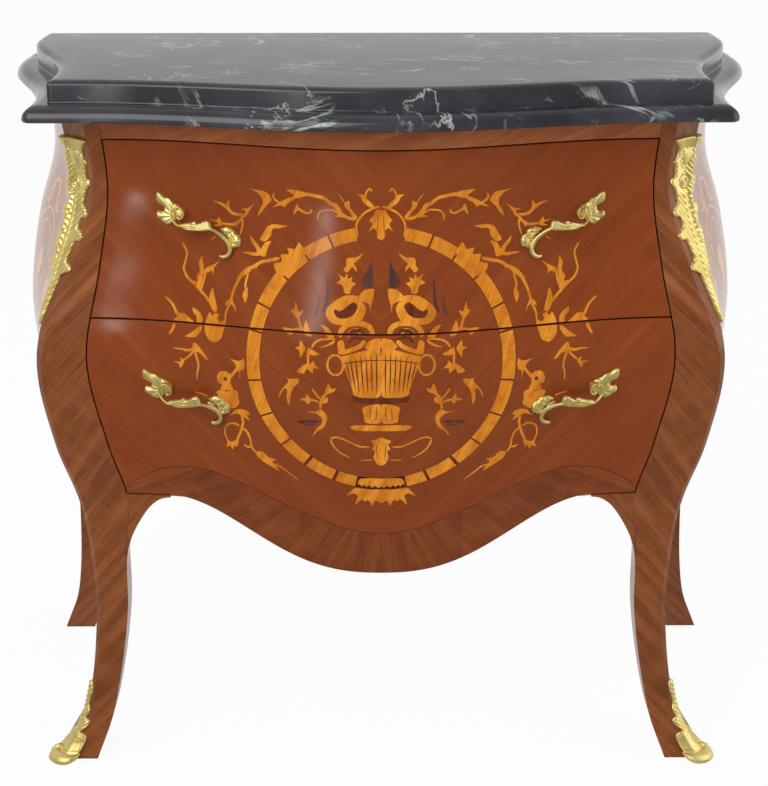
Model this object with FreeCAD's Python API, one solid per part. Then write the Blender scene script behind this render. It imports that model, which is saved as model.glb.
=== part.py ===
"""Bombe commode: a two-drawer chest with a swelling, serpentine case, cabriole legs and a moulded marble top.

The case is one swelling form, narrow at the neck under the marble, fullest at the belly and drawn in again
at the knees, and wider at the back than at the front. Every outside piece is cut from that form, so the
stiles, drawer fronts, rails and side panels lie flush as they do when the veneer runs over all of them:

- each front leg is one post from the floor to the marble, with a bracket under the lower drawer;
- the two drawer fronts meet with no rail between them, and the lower one hangs down as the apron;
- the drawer boxes are plain and straight, and run on wooden runners between a divider and the back;
- gilt mounts sit over the canted front corners, sabots over the front feet, and scrolled pulls on the
  drawers.

Millimetres. +X right, +Y to the back, +Z up. The origin is on the floor, under the middle of the overall box.
"""

import FreeCAD
import Part

import math
import os

from FreeCAD import Vector

# ---- overall -------------------------------------------------------------------------------------------
HEIGHT = 870.0  # floor to the marble's upper face
DEPTH = 510.0  # back plane to the marble's front lip at the centre
MARBLE_T = 44.0  # marble thickness, both tiers

BACK = DEPTH / 2  # y of the back plane
CASE_TOP = HEIGHT - MARBLE_T

# ---- the swelling form, one value per station, floor to case top ----------------------------------------
TOE_Z = 60.0
ANKLE_Z = 190.0
CALF_Z = 290.0
KNEE_Z = 350.0
FLANK_Z = 430.0
BELLY_DOWN = 281.0  # the belly and what is over it are set down from the case top
CHEST_DOWN = 176.0
NECK_DOWN = 86.0
BELLY_Z = CASE_TOP - BELLY_DOWN
CHEST_Z = CASE_TOP - CHEST_DOWN
NECK_Z = CASE_TOP - NECK_DOWN
STATION_Z = (0.0, TOE_Z, ANKLE_Z, CALF_Z, KNEE_Z, FLANK_Z, BELLY_Z, CHEST_Z, NECK_Z, CASE_TOP)
# half width at the front corners, how far those corners are set behind the marble's front, and half width
# at the back
CORNER_X = (412.0, 379.0, 361.0, 364.0, 372.0, 394.0, 406.0, 380.0, 361.0, 369.0)
CORNER_SET = (97.0, 114.0, 125.0, 122.0, 116.0, 101.0, 83.0, 96.0, 108.0, 105.0)
CORNER_REACH = [DEPTH - back for back in CORNER_SET]  # back plane to the corners
BACK_X = (470.0, 448.0, 439.0, 443.0, 450.0, 463.0, 473.0, 459.0, 434.0, 440.0)
# serpentine bow of the front's centre, and the cant of its corners along each face
BOW = (48.0, 48.0, 50.0, 53.0, 56.0, 62.0, 68.0, 71.0, 73.0, 71.0)
CANT = (5.0, 5.0, 5.0, 5.0, 5.0, 5.0, 7.0, 20.0, 30.0, 30.0)
# front leg with its stile, and back leg with its post, both seen in front
LEG_FACE = (47.0, 36.0, 40.0, 46.0, 61.0, 64.0, 59.0, 52.0, 46.0, 48.0)
BACK_FACE = (43.0, 37.0, 36.0, 40.0, 44.0, 46.0, 46.0, 46.0, 46.0, 46.0)
OUTER_PITCH = 40.0  # height between sections of an outside face
INNER_PITCH = 64.0  # and of an inside one
FRONT_STEPS = 5  # points each side of the middle along the front
SIDE_STEPS = 5  # and along a side
FLAT_RUN = 52.0  # flat of the front beside each corner, where the serpentine has run out
FLARE_LAG = 1.0  # how late the side swings out towards the back
FLARE_END = 0.88  # where along the side the swing is done

# ---- marble ---------------------------------------------------------------------------------------------
MARBLE_X = 399.0  # lower tier, half width at the front corners
MARBLE_SET = 60.0  # its front corners, behind its front
MARBLE_REACH = DEPTH - MARBLE_SET  # back plane to the front corners
MARBLE_BACK_X = 477.0
MARBLE_CANT = 6.0
MARBLE_LAG = 1.4
LIP_H = 18.5  # height of the lower tier
LIP_ROUND = 17.0  # how far the lower tier's upper edge rounds in
LIP_UNDER = 3.5  # round under the lower tier
STEP_IN = 26.0  # lower tier's edge back to the upper tier's face
OVOLO_IN = 10.0  # upper tier's quarter round, across
OVOLO_H = 6.0  # and down
LIP_STEPS = 3  # flats round the lip
OVOLO_STEPS = 2  # and round the upper edge

# ---- legs and panels ------------------------------------------------------------------------------------
STILE_REAR = 150.0  # from the marble's front to the flat rear face of the front stiles
STILE_REAR_Y = STILE_REAR - BACK
FRONT_FOOT_DEPTH = 46.0
FRONT_ANKLE_DEPTH = 38.0
BACK_POST_DEPTH = 45.0
BACK_ANKLE_DEPTH = 35.0
BACK_FOOT_DEPTH = 41.0
FRONT_T = 22.0  # drawer fronts and leg brackets
SIDE_T = 18.0
SIDE_DROP = 34.0  # how far that edge swings down at its middle
BACK_T = 12.0
BACK_INSET = 3.0  # back panel in from the back plane
CASE_FLOOR_Z = KNEE_Z  # underside of the bottom rails
SIDE_HEM_Z = CASE_FLOOR_Z  # lower edge of the side panels beside the legs
BOTTOM_T = 6.0

# ---- front openings -------------------------------------------------------------------------------------
TOP_RAIL_H = 25.0
SPLIT_DOWN = 207.0  # below the top rail, where the two drawer fronts meet
FRONT_HEM_UP = 12.0  # lower edge of the lower front beside the legs, over the case's floor
OPENING_TOP = CASE_TOP - TOP_RAIL_H
SPLIT_Z = OPENING_TOP - SPLIT_DOWN
FRONT_HEM_Z = CASE_FLOOR_Z + FRONT_HEM_UP
APRON_DROP = 88.0  # how far the apron hangs below that edge
APRON_HALF = 258.0  # half the apron's span
APRON_POWER = 1.34  # how flat the apron is at its middle
GAP = 1.5  # around the drawer fronts
BRACKET_TIP = 2.5  # thickness of a bracket at its tip
BRACKET_H = 112.0  # how far a bracket runs down the leg, below the lower front
BRACKET_FOOT_Z = FRONT_HEM_Z - BRACKET_H

# ---- drawer boxes and their running gear ----------------------------------------------------------------
RAIL_H = 16.0
RUNNER_W = 55.0
GUIDE_W = 19.0
GUIDE_H = 20.0
RAIL_BEHIND = 3.0  # the rails stand this far behind the drawer fronts
RUN_GAP = 0.4  # a drawer side over its runner
GUIDE_GAP = 1.0  # a drawer side beside its guide
BOX_BESIDE = 6.0  # drawer sides in from the narrowest place between the front legs, from the knee up
BOX_HALF = min(x - face for x, face in zip(CORNER_X[4:], LEG_FACE[4:])) - BOX_BESIDE
BOX_SIDE_T = 12.0
BOX_BACK_T = 12.0
BOX_BOTTOM_T = 6.0
BOTTOM_UP = 9.0  # drawer bottom above the lower edge of the sides
GROOVE = 5.0
BOX_HEAD = 11.0  # room over the sides of a drawer box
BOX_REAR_CLEAR = 14.0  # drawer back to the case's back panel
DUST_T = 4.0
KICKER_W = 24.0
KICKER_GAP = 3.0
TOP_RAIL_W = 40.0
TOP_SIDE_RAIL_H = 18.0
BACK_RAIL_T = 25.0
STOP_W = 14.0
STOP_H = 16.0
STOP_GAP = 0.5
UPPER_TAIL_COUNT = 4
LOWER_TAIL_COUNT = 5
TAIL_SLOPE = 0.16  # flare of a dovetail

# ---- gilt mounts ----------------------------------------------------------------------------------------
MOUNT_T = 4.0  # thickness of the leaf
MOUNT_DOWN = 23.0  # top of a corner mount, below the case top
MOUNT_H = 223.0
MOUNT_TOP_Z = CASE_TOP - MOUNT_DOWN
MOUNT_TIP_Z = MOUNT_TOP_Z - MOUNT_H
MOUNT_HALF = 25.0
MOUNT_ROUND = 7.0  # how far the mounts sit round the corner, towards the side
MOUNT_LOBE_COUNT = 6
MOUNT_TAPER_POWER = 0.6
MOUNT_BITE_SHARE = 0.4  # depth of the notches between lobes, of the leaf's half width
RIB_RISE = 3.0  # the rib's rise over the leaf
RIB_SHARE = 0.45  # the rib's width as a share of the leaf's
CAP_H = 8.0
CAP_OUT = 3.0
BOSS_R = 8.0
BOSS_RISE = 4.0  # over the leaf
BOSS_DOWN = (55.0, 109.0)  # middles of the bosses, below the mount's top
RIB_TIP = 12.0  # the rib stops short of the leaf's tip
SABOT_TOP_Z = 106.0
SABOT_HALF = 30.0
SABOT_ROUND = 8.0  # towards the side
SABOT_T = 4.0
SABOT_LOBE_COUNT = 4
SABOT_TAPER_POWER = 1.3
SABOT_BITE_SHARE = 0.22
TOE_R = 7.5  # scrolled toe
TOE_L = 30.0
TOE_OUT = 5.0  # the toe's middle, out from the foot's corner
TOE_EYE_R = 6.0
TOE_EYE_T = 2.0

# ---- pulls ----------------------------------------------------------------------------------------------
UPPER_PULL_UP = 111.0  # over the joint of the drawer fronts
LOWER_PULL_DOWN = 91.0  # and below it
UPPER_PULL_X = 207.0
LOWER_PULL_X = 223.0
UPPER_PULL_TILT = 0.0
LOWER_PULL_TILT = 9.0  # degrees, outer end turned down
PULL_STANDOFF = 20.0  # middle of the bar, off the front
PULL_LEAF_T = 4.0
PULL_SIDES = 6  # faces round the bar
STUD_SIDES = 12  # faces round a boss
EYE_SIDES = 8  # and round a scroll's eye
# tail and bar of a pull, in stations of (x, y, height, half height, half thickness)
PULL_TAIL = (
    (30, -34, 3.2, 2.6, 2.2),
    (36, -33, 3.4, 2.8, 2.4),
    (42, -26, 3.8, 3.0, 2.6),
    (41, -16, 5.0, 3.2, 3.0),
)
PULL_ARM = ((35.5, -8, 9.0, 3.4, 3.2), (27, -2.5, 15.0, 3.0, 2.8))
# the bar's heights are from its standoff
PULL_BAR = (
    (15.5, 0, 0, 4.6, 3.4),
    (2, -0.5, 0, 4.2, 3.4),
    (-10.5, -1, -3, 3.6, 3.0),
    (-20, -0.5, -9, 3.2, 3.0),
)
# its leaves and the crests on its bar, in (root, tip, half width)
PULL_LEAVES = (
    ((-18, 8), (-44, 33), 8.0),
    ((-18, 8), (-47, 9), 7.5),
    ((26, -3), (56, -15), 9.5),
    ((29, -6), (48, -24), 7.0),
)
PULL_CRESTS = (((-4, 0), (8, 7.5), 2.8), ((6, 0), (22, 9), 3.2))
CREST_HALF_T = 2.2
LEAF_SINK = 5.0  # how far the leaves run into the front before they are cut to it
PULL_BOSS = (-23.0, 10.0)
PULL_BOSS_R = 9.0
SCROLL_AT = (-20.0, 10.5)  # middle of the volute
SCROLL_R = 9.5
SCROLL_SIZE = 3.0  # half thickness where it starts
SCROLL_RISE = 7.5
EYE_R = 3.2
EYE_UP = 3.0
EYE_L = 14.0
PULL_BOLTS = ((-25.0, 8.0), (38.0, -8.0))
BOLT_W = 4.0  # square shank
BOLT_CLEAR = 0.25
BOLT_HEAD_W = 9.0
BOLT_HEAD_H = 2.5
BOLT_BITE = 3.0  # how far a bolt enters the pull, measured from the front's face
SPOT_FACE = 0.4  # depth of the flat seat under each bolt head, inside the front

FAR = 700.0  # past everything
CUT_OVER = 2.0  # how far a cutting form runs past what it cuts
OUT = Vector(1, -1, 0) / math.sqrt(2)  # outwards at the right front corner
ALONG = Vector(1, 1, 0) / math.sqrt(2)  # and across that corner


# ---- the form -------------------------------------------------------------------------------------------
def at(row, z):
    """The value of a station row at height z, on a smooth curve through the stations."""
    zs = STATION_Z
    z = min(max(z, zs[0]), zs[-1])
    i = max(k for k in range(len(zs) - 1) if zs[k] <= z)

    def slope(k):
        lo, hi = max(k - 1, 0), min(k + 1, len(zs) - 1)
        return (row[hi] - row[lo]) / (zs[hi] - zs[lo])

    h = zs[i + 1] - zs[i]
    t = (z - zs[i]) / h
    start = (2 * t**3 - 3 * t**2 + 1) * row[i] + (t**3 - 2 * t**2 + t) * h * slope(i)
    end = (3 * t**2 - 2 * t**3) * row[i + 1] + (t**3 - t**2) * h * slope(i + 1)
    return start + end


def levels(pitch):
    """Even heights from the floor to the case top, at most pitch apart."""
    n = math.ceil(CASE_TOP / pitch)
    return [CASE_TOP * k / n for k in range(n + 1)]


def swell(t):
    """The serpentine: 1 at the middle, running out level at t = 1."""
    return (1 + math.cos(math.pi * min(abs(t), 1.0))) / 2


def ogee(t, lag):
    """The side's swing from the front corner, 0, to the back, 1."""
    return (1 - math.cos(math.pi * min(t / FLARE_END, 1.0) ** lag)) / 2


def spline(points):
    """A smooth edge through points, spaced evenly in its parameter so that like edges loft alike."""
    curve = Part.BSplineCurve()
    curve.interpolate(Points=points, Parameters=[k / (len(points) - 1) for k in range(len(points))])
    return curve.toShape()


def line(a, b):
    return Part.LineSegment(a, b).toShape()


def chain(points):
    """Short straight edges from point to point."""
    return [line(a, b) for a, b in zip(points, points[1:])]


def plan(z, corner_x, reach, bow, back_x, cant, lag, grow=0.0, back=BACK, smooth=True):
    """The closed outline of the form at one height, grown outwards all round by grow, but for its back."""
    span = corner_x - FLAT_RUN
    edge_cant = max(cant + (2 - math.sqrt(2)) * grow, 1.0)
    x1 = corner_x + grow
    y1 = BACK - reach - grow
    half = x1 - edge_cant
    xs = [half * k / FRONT_STEPS for k in range(-FRONT_STEPS, FRONT_STEPS + 1)]
    front = [Vector(x, y1 - bow * swell(x / span), z) for x in xs]
    y0 = y1 + edge_cant
    side = []
    for k in range(SIDE_STEPS + 1):
        t = k / SIDE_STEPS
        side.append(Vector(x1 + (back_x - corner_x) * ogee(t, lag), y0 + (back - y0) * t, z))
    left = [Vector(-p.x, p.y, z) for p in reversed(side)]
    if not smooth:
        return Part.Wire(chain([*front, *side, *left, front[0]]))
    edges = [
        spline(front),
        line(front[-1], side[0]),
        spline(side),
        line(side[-1], left[0]),
        spline(left),
        line(left[-1], front[0]),
    ]
    return Part.Wire(edges)


def row(z):
    """The plan's measures at height z."""
    return [at(values, z) for values in (CORNER_X, CORNER_REACH, BOW, BACK_X, CANT)]


def form(grow=0.0):
    """The case's solid form, floor to case top, grown outwards by grow."""
    sections = [plan(z, *row(z), FLARE_LAG, grow) for z in levels(OUTER_PITCH)]
    return Part.makeLoft(sections, True, True)


def hollow(wall):
    """The form inside a wall of the case, worked in flats, run over past the ends and back to cut with."""
    sections = []
    for z in levels(INNER_PITCH):
        place = z - CUT_OVER if z == 0 else z + CUT_OVER if z == CASE_TOP else z
        sections.append(plan(place, *row(z), FLARE_LAG, -wall, BACK + CUT_OVER, False))
    return Part.makeLoft(sections, True, True)


def front_y(x, z):
    """Where the outside of the front is, at x and z."""
    span = at(CORNER_X, z) - FLAT_RUN
    return BACK - at(CORNER_REACH, z) - at(BOW, z) * swell(x / span)


def box(x0, x1, y0, y1, z0, z1):
    return Part.makeBox(x1 - x0, y1 - y0, z1 - z0, Vector(x0, y0, z0))


def one(shape):
    """The shape's main solid."""
    return max(shape.Solids, key=lambda s: s.Volume)


def mirrored(shape):
    return shape.mirror(Vector(0, 0, 0), Vector(1, 0, 0))


def both_sides(*shapes):
    """The shapes with their mirror images, kept as separate solids of one piece."""
    return Part.makeCompound([*shapes, *[mirrored(shape) for shape in shapes]])


def seen_in_front(edges):
    """A prism through the whole depth, from an outline in the XZ plane."""
    return Part.Face(Part.Wire(Part.__sortEdges__(edges))).extrude(Vector(0, 2 * FAR, 0))


def seen_from_side(edges):
    """A prism through the whole width, from an outline in the YZ plane."""
    return Part.Face(Part.Wire(Part.__sortEdges__(edges))).extrude(Vector(2 * FAR, 0, 0))


def inner_edge(z):
    """x of the right front leg's inner edge."""
    return at(CORNER_X, z) - at(LEG_FACE, z)


def post_edge(z):
    """x of the right back post's inner edge."""
    return at(BACK_X, z) - at(BACK_FACE, z)


def upright(edge, side=1):
    """An inner or post edge from floor to case top, in a plane ahead of the case."""
    return [Vector(side * edge(z), -FAR, z) for z in levels(OUTER_PITCH)]


def between(edge, low, high):
    """A prism through the depth, between the left and right edges and from low to high."""
    right, left = upright(edge), upright(edge, -1)
    whole = seen_in_front(chain([*right, *reversed(left), right[0]]))
    return whole.common(box(-FAR, FAR, -FAR, FAR, low, high))


def outside(edge):
    """A prism through the depth, from the right edge outwards."""
    right = upright(edge)
    return seen_in_front(chain([*right, Vector(FAR, -FAR, CASE_TOP), Vector(FAR, -FAR, 0), right[0]]))


# ---- marble ---------------------------------------------------------------------------------------------
def marble_plan(z, inset):
    corner = DEPTH - MARBLE_REACH
    return plan(z, MARBLE_X, MARBLE_REACH, corner, MARBLE_BACK_X, MARBLE_CANT, MARBLE_LAG, -inset)


def quarter(z0, rise, inset0, inset, count):
    """Sections of a quarter round that leans in as it rises."""
    steps = [math.radians(90 * k / count) for k in range(count + 1)]
    return [marble_plan(z0 + rise * math.sin(a), inset0 + inset * (1 - math.cos(a))) for a in steps]


def marble_top():
    waist_z = CASE_TOP + LIP_UNDER
    ledge_z = CASE_TOP + LIP_H
    foot = marble_plan(CASE_TOP, LIP_UNDER)
    lip = Part.makeLoft([foot, *quarter(waist_z, LIP_H - LIP_UNDER, 0.0, LIP_ROUND, LIP_STEPS)], True, True)
    foot = marble_plan(ledge_z, STEP_IN)
    edge = quarter(HEIGHT - OVOLO_H, OVOLO_H, STEP_IN, OVOLO_IN, OVOLO_STEPS)
    top = Part.makeLoft([foot, *edge], True, True)
    return one(lip.fuse(top))


# ---- legs -----------------------------------------------------------------------------------------------
def front_leg(outer, inner):
    """The right front leg: stile, cabriole leg and bracket in one."""
    rear = []
    for z, depth in ((0.0, FRONT_FOOT_DEPTH), (TOE_Z, FRONT_FOOT_DEPTH), (ANKLE_Z, FRONT_ANKLE_DEPTH)):
        rear.append(Vector(-FAR, BACK - at(CORNER_REACH, z) + depth, z))
    rear.append(Vector(-FAR, STILE_REAR_Y, CASE_FLOOR_Z))
    top = Vector(-FAR, STILE_REAR_Y, CASE_TOP)
    ahead = [Vector(-FAR, -FAR, CASE_TOP), Vector(-FAR, -FAR, 0)]
    depth = seen_from_side([spline(rear), *chain([rear[-1], top, *ahead, rear[0]])])
    post = outer.common(outside(inner_edge)).common(depth)

    tip_z = FRONT_HEM_Z - GAP
    arch_top = tip_z - BRACKET_TIP
    foot_x = inner_edge(BRACKET_FOOT_Z)
    arch = []
    for k in range(7):
        a = math.radians(90 * k / 6)
        x = APRON_HALF + (foot_x - APRON_HALF) * math.sin(a)
        arch.append(Vector(x, -FAR, BRACKET_FOOT_Z + (arch_top - BRACKET_FOOT_Z) * math.cos(a)))
    tip, heel = Vector(APRON_HALF, -FAR, tip_z), Vector(CORNER_X[0], -FAR, tip_z)
    foot = Vector(CORNER_X[0], -FAR, BRACKET_FOOT_Z)
    rim = [line(arch[0], tip), line(tip, heel), line(heel, foot), line(foot, arch[-1])]
    bracket = outer.common(seen_in_front([spline(arch), *rim])).cut(inner).cut(outside(inner_edge))
    return one(post.fuse(bracket))


def back_leg(outer):
    """The right back leg: post and leg in one, with a flat back."""
    face_y = BACK - BACK_POST_DEPTH
    ahead = [
        Vector(-FAR, BACK - BACK_FOOT_DEPTH, 0),
        Vector(-FAR, BACK - BACK_ANKLE_DEPTH, ANKLE_Z),
        Vector(-FAR, face_y, CASE_FLOOR_Z),
    ]
    rim = [Vector(-FAR, face_y, CASE_TOP), Vector(-FAR, FAR, CASE_TOP), Vector(-FAR, FAR, 0)]
    depth = seen_from_side([spline(ahead), *chain([ahead[-1], *rim, ahead[0]])])
    return one(outer.common(outside(post_edge)).common(depth))


# ---- case -----------------------------------------------------------------------------------------------
def side_panel(outer, inside):
    """The right side panel, with a swung lower edge, between the front leg and the back post."""
    y0, y1 = STILE_REAR_Y, BACK - BACK_POST_DEPTH
    hem = []
    for k in range(9):
        t = k / 8
        hem.append(Vector(0, y0 + (y1 - y0) * t, SIDE_HEM_Z - SIDE_DROP * swell(2 * t - 1)))
    top = [Vector(0, y1, CASE_TOP), Vector(0, y0, CASE_TOP)]
    slab = seen_from_side([spline(hem), line(hem[-1], top[0]), line(top[0], top[1]), line(top[1], hem[0])])
    return one(outer.cut(inside).common(slab))


def top_front_rail(outer):
    rail = outer.common(between(inner_edge, OPENING_TOP, CASE_TOP))
    return one(rail.common(box(-FAR, FAR, -FAR, STILE_REAR_Y, 0, HEIGHT)))


def inner_rail(behind, low):
    """A rail between the front stiles, just behind the drawer fronts."""
    rail = behind.common(between(inner_edge, low, low + RAIL_H))
    return one(rail.common(box(-FAR, FAR, -FAR, STILE_REAR_Y, 0, HEIGHT)))


def back_rail(low, height):
    y1 = BACK - BACK_INSET - BACK_T
    return one(between(post_edge, low, low + height).common(box(-FAR, FAR, y1 - BACK_RAIL_T, y1, 0, HEIGHT)))


def back_panel():
    y1 = BACK - BACK_INSET
    return one(between(post_edge, CASE_FLOOR_Z, CASE_TOP).common(box(-FAR, FAR, y1 - BACK_T, y1, 0, HEIGHT)))


def top_side_rail(inside):
    """The right rail inside the top of the side panel, which carries the marble."""
    deeper = hollow(SIDE_T + TOP_RAIL_W)
    band = box(0, FAR, STILE_REAR_Y, BACK - BACK_POST_DEPTH, CASE_TOP - TOP_SIDE_RAIL_H, CASE_TOP)
    return one(inside.common(band).cut(deeper))


def bottom_board(inside, posts):
    low = CASE_FLOOR_Z - BOTTOM_T
    board = inside.common(box(-FAR, FAR, STILE_REAR_Y, BACK - BACK_INSET, low, CASE_FLOOR_Z))
    for post in posts:
        board = board.cut(post).cut(mirrored(post))
    return one(board)


def runner(low):
    """A right-hand runner with its guide."""
    outer_x = BOX_HALF + GUIDE_GAP + GUIDE_W
    y1 = BACK - BACK_INSET - BACK_T
    top = low + RAIL_H
    base = box(outer_x - RUNNER_W, outer_x, STILE_REAR_Y, y1, low, top)
    guide = box(outer_x - GUIDE_W, outer_x, STILE_REAR_Y, y1, top, top + GUIDE_H)
    return one(base.fuse(guide))


def lower_runner(low, rail):
    return one(runner(low).cut(rail))


def kicker(rail):
    """A right-hand kicker, over the upper drawer's side, let into the top side rail."""
    under = OPENING_TOP - BOX_HEAD + KICKER_GAP
    y1 = BACK - BACK_INSET - BACK_T - BACK_RAIL_T
    return one(box(BOX_HALF - KICKER_W, BOX_HALF, STILE_REAR_Y, y1, under, CASE_TOP).cut(rail))


def dust_panel():
    half = BOX_HALF + GUIDE_GAP + GUIDE_W - RUNNER_W
    low = SPLIT_Z - DUST_T / 2
    return box(-half, half, STILE_REAR_Y, BACK - BACK_INSET - BACK_T, low, low + DUST_T)


def drawer_stops():
    """A stop behind each drawer side, on its runner."""
    y1 = BACK - BACK_INSET - BACK_T
    x = BOX_HALF - BOX_SIDE_T - STOP_W / 2
    blocks = []
    for base in (SPLIT_Z + RAIL_H / 2, CASE_FLOOR_Z + RAIL_H):
        for side in (-1, 1):
            x0 = side * x - STOP_W / 2
            blocks.append(box(x0, x0 + STOP_W, y1 - BOX_REAR_CLEAR + STOP_GAP, y1, base, base + STOP_H))
    return Part.makeCompound(blocks)


# ---- drawers --------------------------------------------------------------------------------------------
def front_shell(outer, inner, outline):
    return outer.common(outline).cut(inner)


def front_edge(z):
    """x of a drawer front's right-hand edge."""
    return inner_edge(z) - GAP


def upper_outline():
    """The upper drawer front, seen in front."""
    return between(front_edge, SPLIT_Z + GAP / 2, OPENING_TOP - GAP)


def lower_outline():
    """The lower drawer front with its apron, seen in front."""
    face = between(front_edge, FRONT_HEM_Z, SPLIT_Z - GAP / 2)
    apron = []
    for k in range(-10, 11):
        t = abs(k) / 10
        rise = (1 - math.cos(math.pi * t**APRON_POWER)) / 2
        apron.append(Vector(APRON_HALF * k / 10, -FAR, FRONT_HEM_Z - APRON_DROP * (1 - rise)))
    return face.fuse(seen_in_front([spline(apron), line(apron[0], apron[-1])]))


def tails(count, low, high, depth, slope):
    """Heights of the dovetails' edges: (lower, upper) at the narrow root of each tail."""
    pitch = (high - low) / count
    inset = pitch * 0.22 + depth * slope
    return [(low + pitch * k + inset, low + pitch * (k + 1) - inset) for k in range(count)]


def tail_prism(lower, upper, y0, y1, x0, x1, slope):
    """One dovetail across a drawer's rear corner: wide at the rear face y1, narrow at its root y0."""
    flare = (y1 - y0) * slope
    points = [
        Vector(x0, y0, lower),
        Vector(x0, y1, lower - flare),
        Vector(x0, y1, upper + flare),
        Vector(x0, y0, upper),
    ]
    face = Part.Face(Part.makePolygon([*points, points[0]]))
    return face.extrude(Vector(x1 - x0, 0, 0))


def drawer_box(inner, low, high, count):
    """Right side, back and bottom of a drawer. The sides meet the front's inside."""
    rear = BACK - BACK_INSET - BACK_T - BOX_REAR_CLEAR
    root = rear - BOX_BACK_T
    x0, x1 = BOX_HALF - BOX_SIDE_T, BOX_HALF
    bottom_z = low + BOTTOM_UP
    side = box(x0, x1, -FAR, root, low, high)
    back_low = bottom_z + BOX_BOTTOM_T
    back = box(-x1, x1, root, rear, back_low, high)
    for lower, upper in tails(count, back_low, high, BOX_BACK_T, TAIL_SLOPE):
        tail = tail_prism(lower, upper, root, rear, x0, x1, TAIL_SLOPE)
        side = side.fuse(tail)
        back = back.cut(tail).cut(mirrored(tail))
    side = side.common(inner)
    bottom = box(-x0 - GROOVE, x0 + GROOVE, -FAR, rear, bottom_z, bottom_z + BOX_BOTTOM_T).common(inner)
    side = side.cut(bottom)
    return one(side), one(back), one(bottom)


# ---- gilt mounts ----------------------------------------------------------------------------------------
def corner_across(z):
    """Where the front corner's middle is, measured across the diagonal."""
    return (at(CORNER_X, z) + BACK - at(CORNER_REACH, z)) / math.sqrt(2)


def diagonal_prism(points):
    """A prism along the right front diagonal, from points (across, z)."""
    near = FAR / 5
    placed = [ALONG * s + Vector(0, 0, z) + OUT * near for s, z in points]
    return Part.Face(Part.makePolygon([*placed, placed[0]])).extrude(OUT * (FAR - near))


def leafy(low, high, half, aside, lobes, bite, taper, root_high):
    """Points (across, z) of a leaf over the corner, lobed down both sides, broad at one end and pointed."""
    right, left = [], []
    steps = 4
    for k in range(lobes * steps + 1):
        t = k / (lobes * steps)
        z = low + (high - low) * t
        broad = t if root_high else 1 - t
        width = half * (0.14 + 0.86 * broad**taper) * (1 - bite + bite * abs(math.sin(math.pi * lobes * t)))
        middle = corner_across(z) + aside
        right.append((middle + width, z))
        left.append((middle - width, z))
    return right + left[::-1]


def stud(middle, axis, radius, length, sides=STUD_SIDES):
    """A many-sided bar about an axis through its middle."""
    turn = FreeCAD.Rotation(Vector(0, 0, 1), axis)
    base = middle - axis * length / 2
    angles = [2 * math.pi * k / sides for k in range(sides)]
    rim = [base + turn.multVec(Vector(radius * math.cos(a), radius * math.sin(a), 0)) for a in angles]
    return Part.Face(Part.makePolygon([*rim, rim[0]])).extrude(axis * length)


def corner_point(z, out):
    """The outside of the right front corner at height z, moved outwards along the diagonal."""
    reach = (at(CORNER_X, z) - BACK + at(CORNER_REACH, z) - at(CANT, z)) / math.sqrt(2)
    return ALONG * corner_across(z) + OUT * (reach + out) + Vector(0, 0, z)


def corner_mount(outer):
    """The right corner mount: a leafy drop with a rib and two bosses, under a small flared cap."""
    aside = MOUNT_ROUND
    bite, taper = MOUNT_BITE_SHARE, MOUNT_TAPER_POWER
    leaf = leafy(MOUNT_TIP_Z, MOUNT_TOP_Z, MOUNT_HALF, aside, MOUNT_LOBE_COUNT, bite, taper, True)
    body = form(MOUNT_T).common(diagonal_prism(leaf))
    low, half = MOUNT_TIP_Z + RIB_TIP, MOUNT_HALF * RIB_SHARE
    spine = leafy(low, MOUNT_TOP_Z, half, aside, 1, 0.0, taper, True)
    body = body.fuse(form(MOUNT_T + RIB_RISE).common(diagonal_prism(spine)))
    middle = corner_across(MOUNT_TOP_Z) + aside
    foot, brim = MOUNT_HALF * 0.8, MOUNT_HALF + CAP_OUT
    high = MOUNT_TOP_Z
    low = high - CAP_H
    band = [(middle - foot, low), (middle + foot, low), (middle + brim, high), (middle - brim, high)]
    body = body.fuse(form(MOUNT_T + CAP_OUT).common(diagonal_prism(band)))
    for down in BOSS_DOWN:
        seat = corner_point(high - down, 0) + ALONG * aside
        body = body.fuse(stud(seat, OUT, BOSS_R, 2 * (MOUNT_T + BOSS_RISE)))
    return one(body.cut(outer))


def sabot(outer):
    """The right sabot: a leafy shoe over the foot's outer corner, with a scrolled toe."""
    bite, taper = SABOT_BITE_SHARE, SABOT_TAPER_POWER
    leaf = leafy(0.0, SABOT_TOP_Z, SABOT_HALF, SABOT_ROUND, SABOT_LOBE_COUNT, bite, taper, False)
    body = form(SABOT_T).common(diagonal_prism(leaf))
    toe = corner_point(0, TOE_OUT) + Vector(0, 0, TOE_R)
    body = body.fuse(stud(toe, ALONG, TOE_R, TOE_L))
    body = body.fuse(stud(toe, ALONG, TOE_EYE_R, TOE_L + 2 * TOE_EYE_T, EYE_SIDES))
    return one(body.cut(outer))


# ---- pulls ----------------------------------------------------------------------------------------------
def pull_frame(x, z, tilt):
    """The placement of a pull on the front's left half: local x along it, local y up, local z outwards."""
    step = 4.0
    dx = (front_y(x + step, z) - front_y(x - step, z)) / (2 * step)
    dz = (front_y(x, z + step) - front_y(x, z - step)) / (2 * step)
    across = Vector(1, dx, 0).normalize()
    normal = Vector(dx, -1, dz).normalize()
    up = normal.cross(across)
    rotation = FreeCAD.Rotation(across, up, normal, "ZXY")
    spin = FreeCAD.Rotation(Vector(0, 0, 1), tilt)
    return FreeCAD.Placement(Vector(x, front_y(x, z), z), rotation.multiply(spin))


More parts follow.
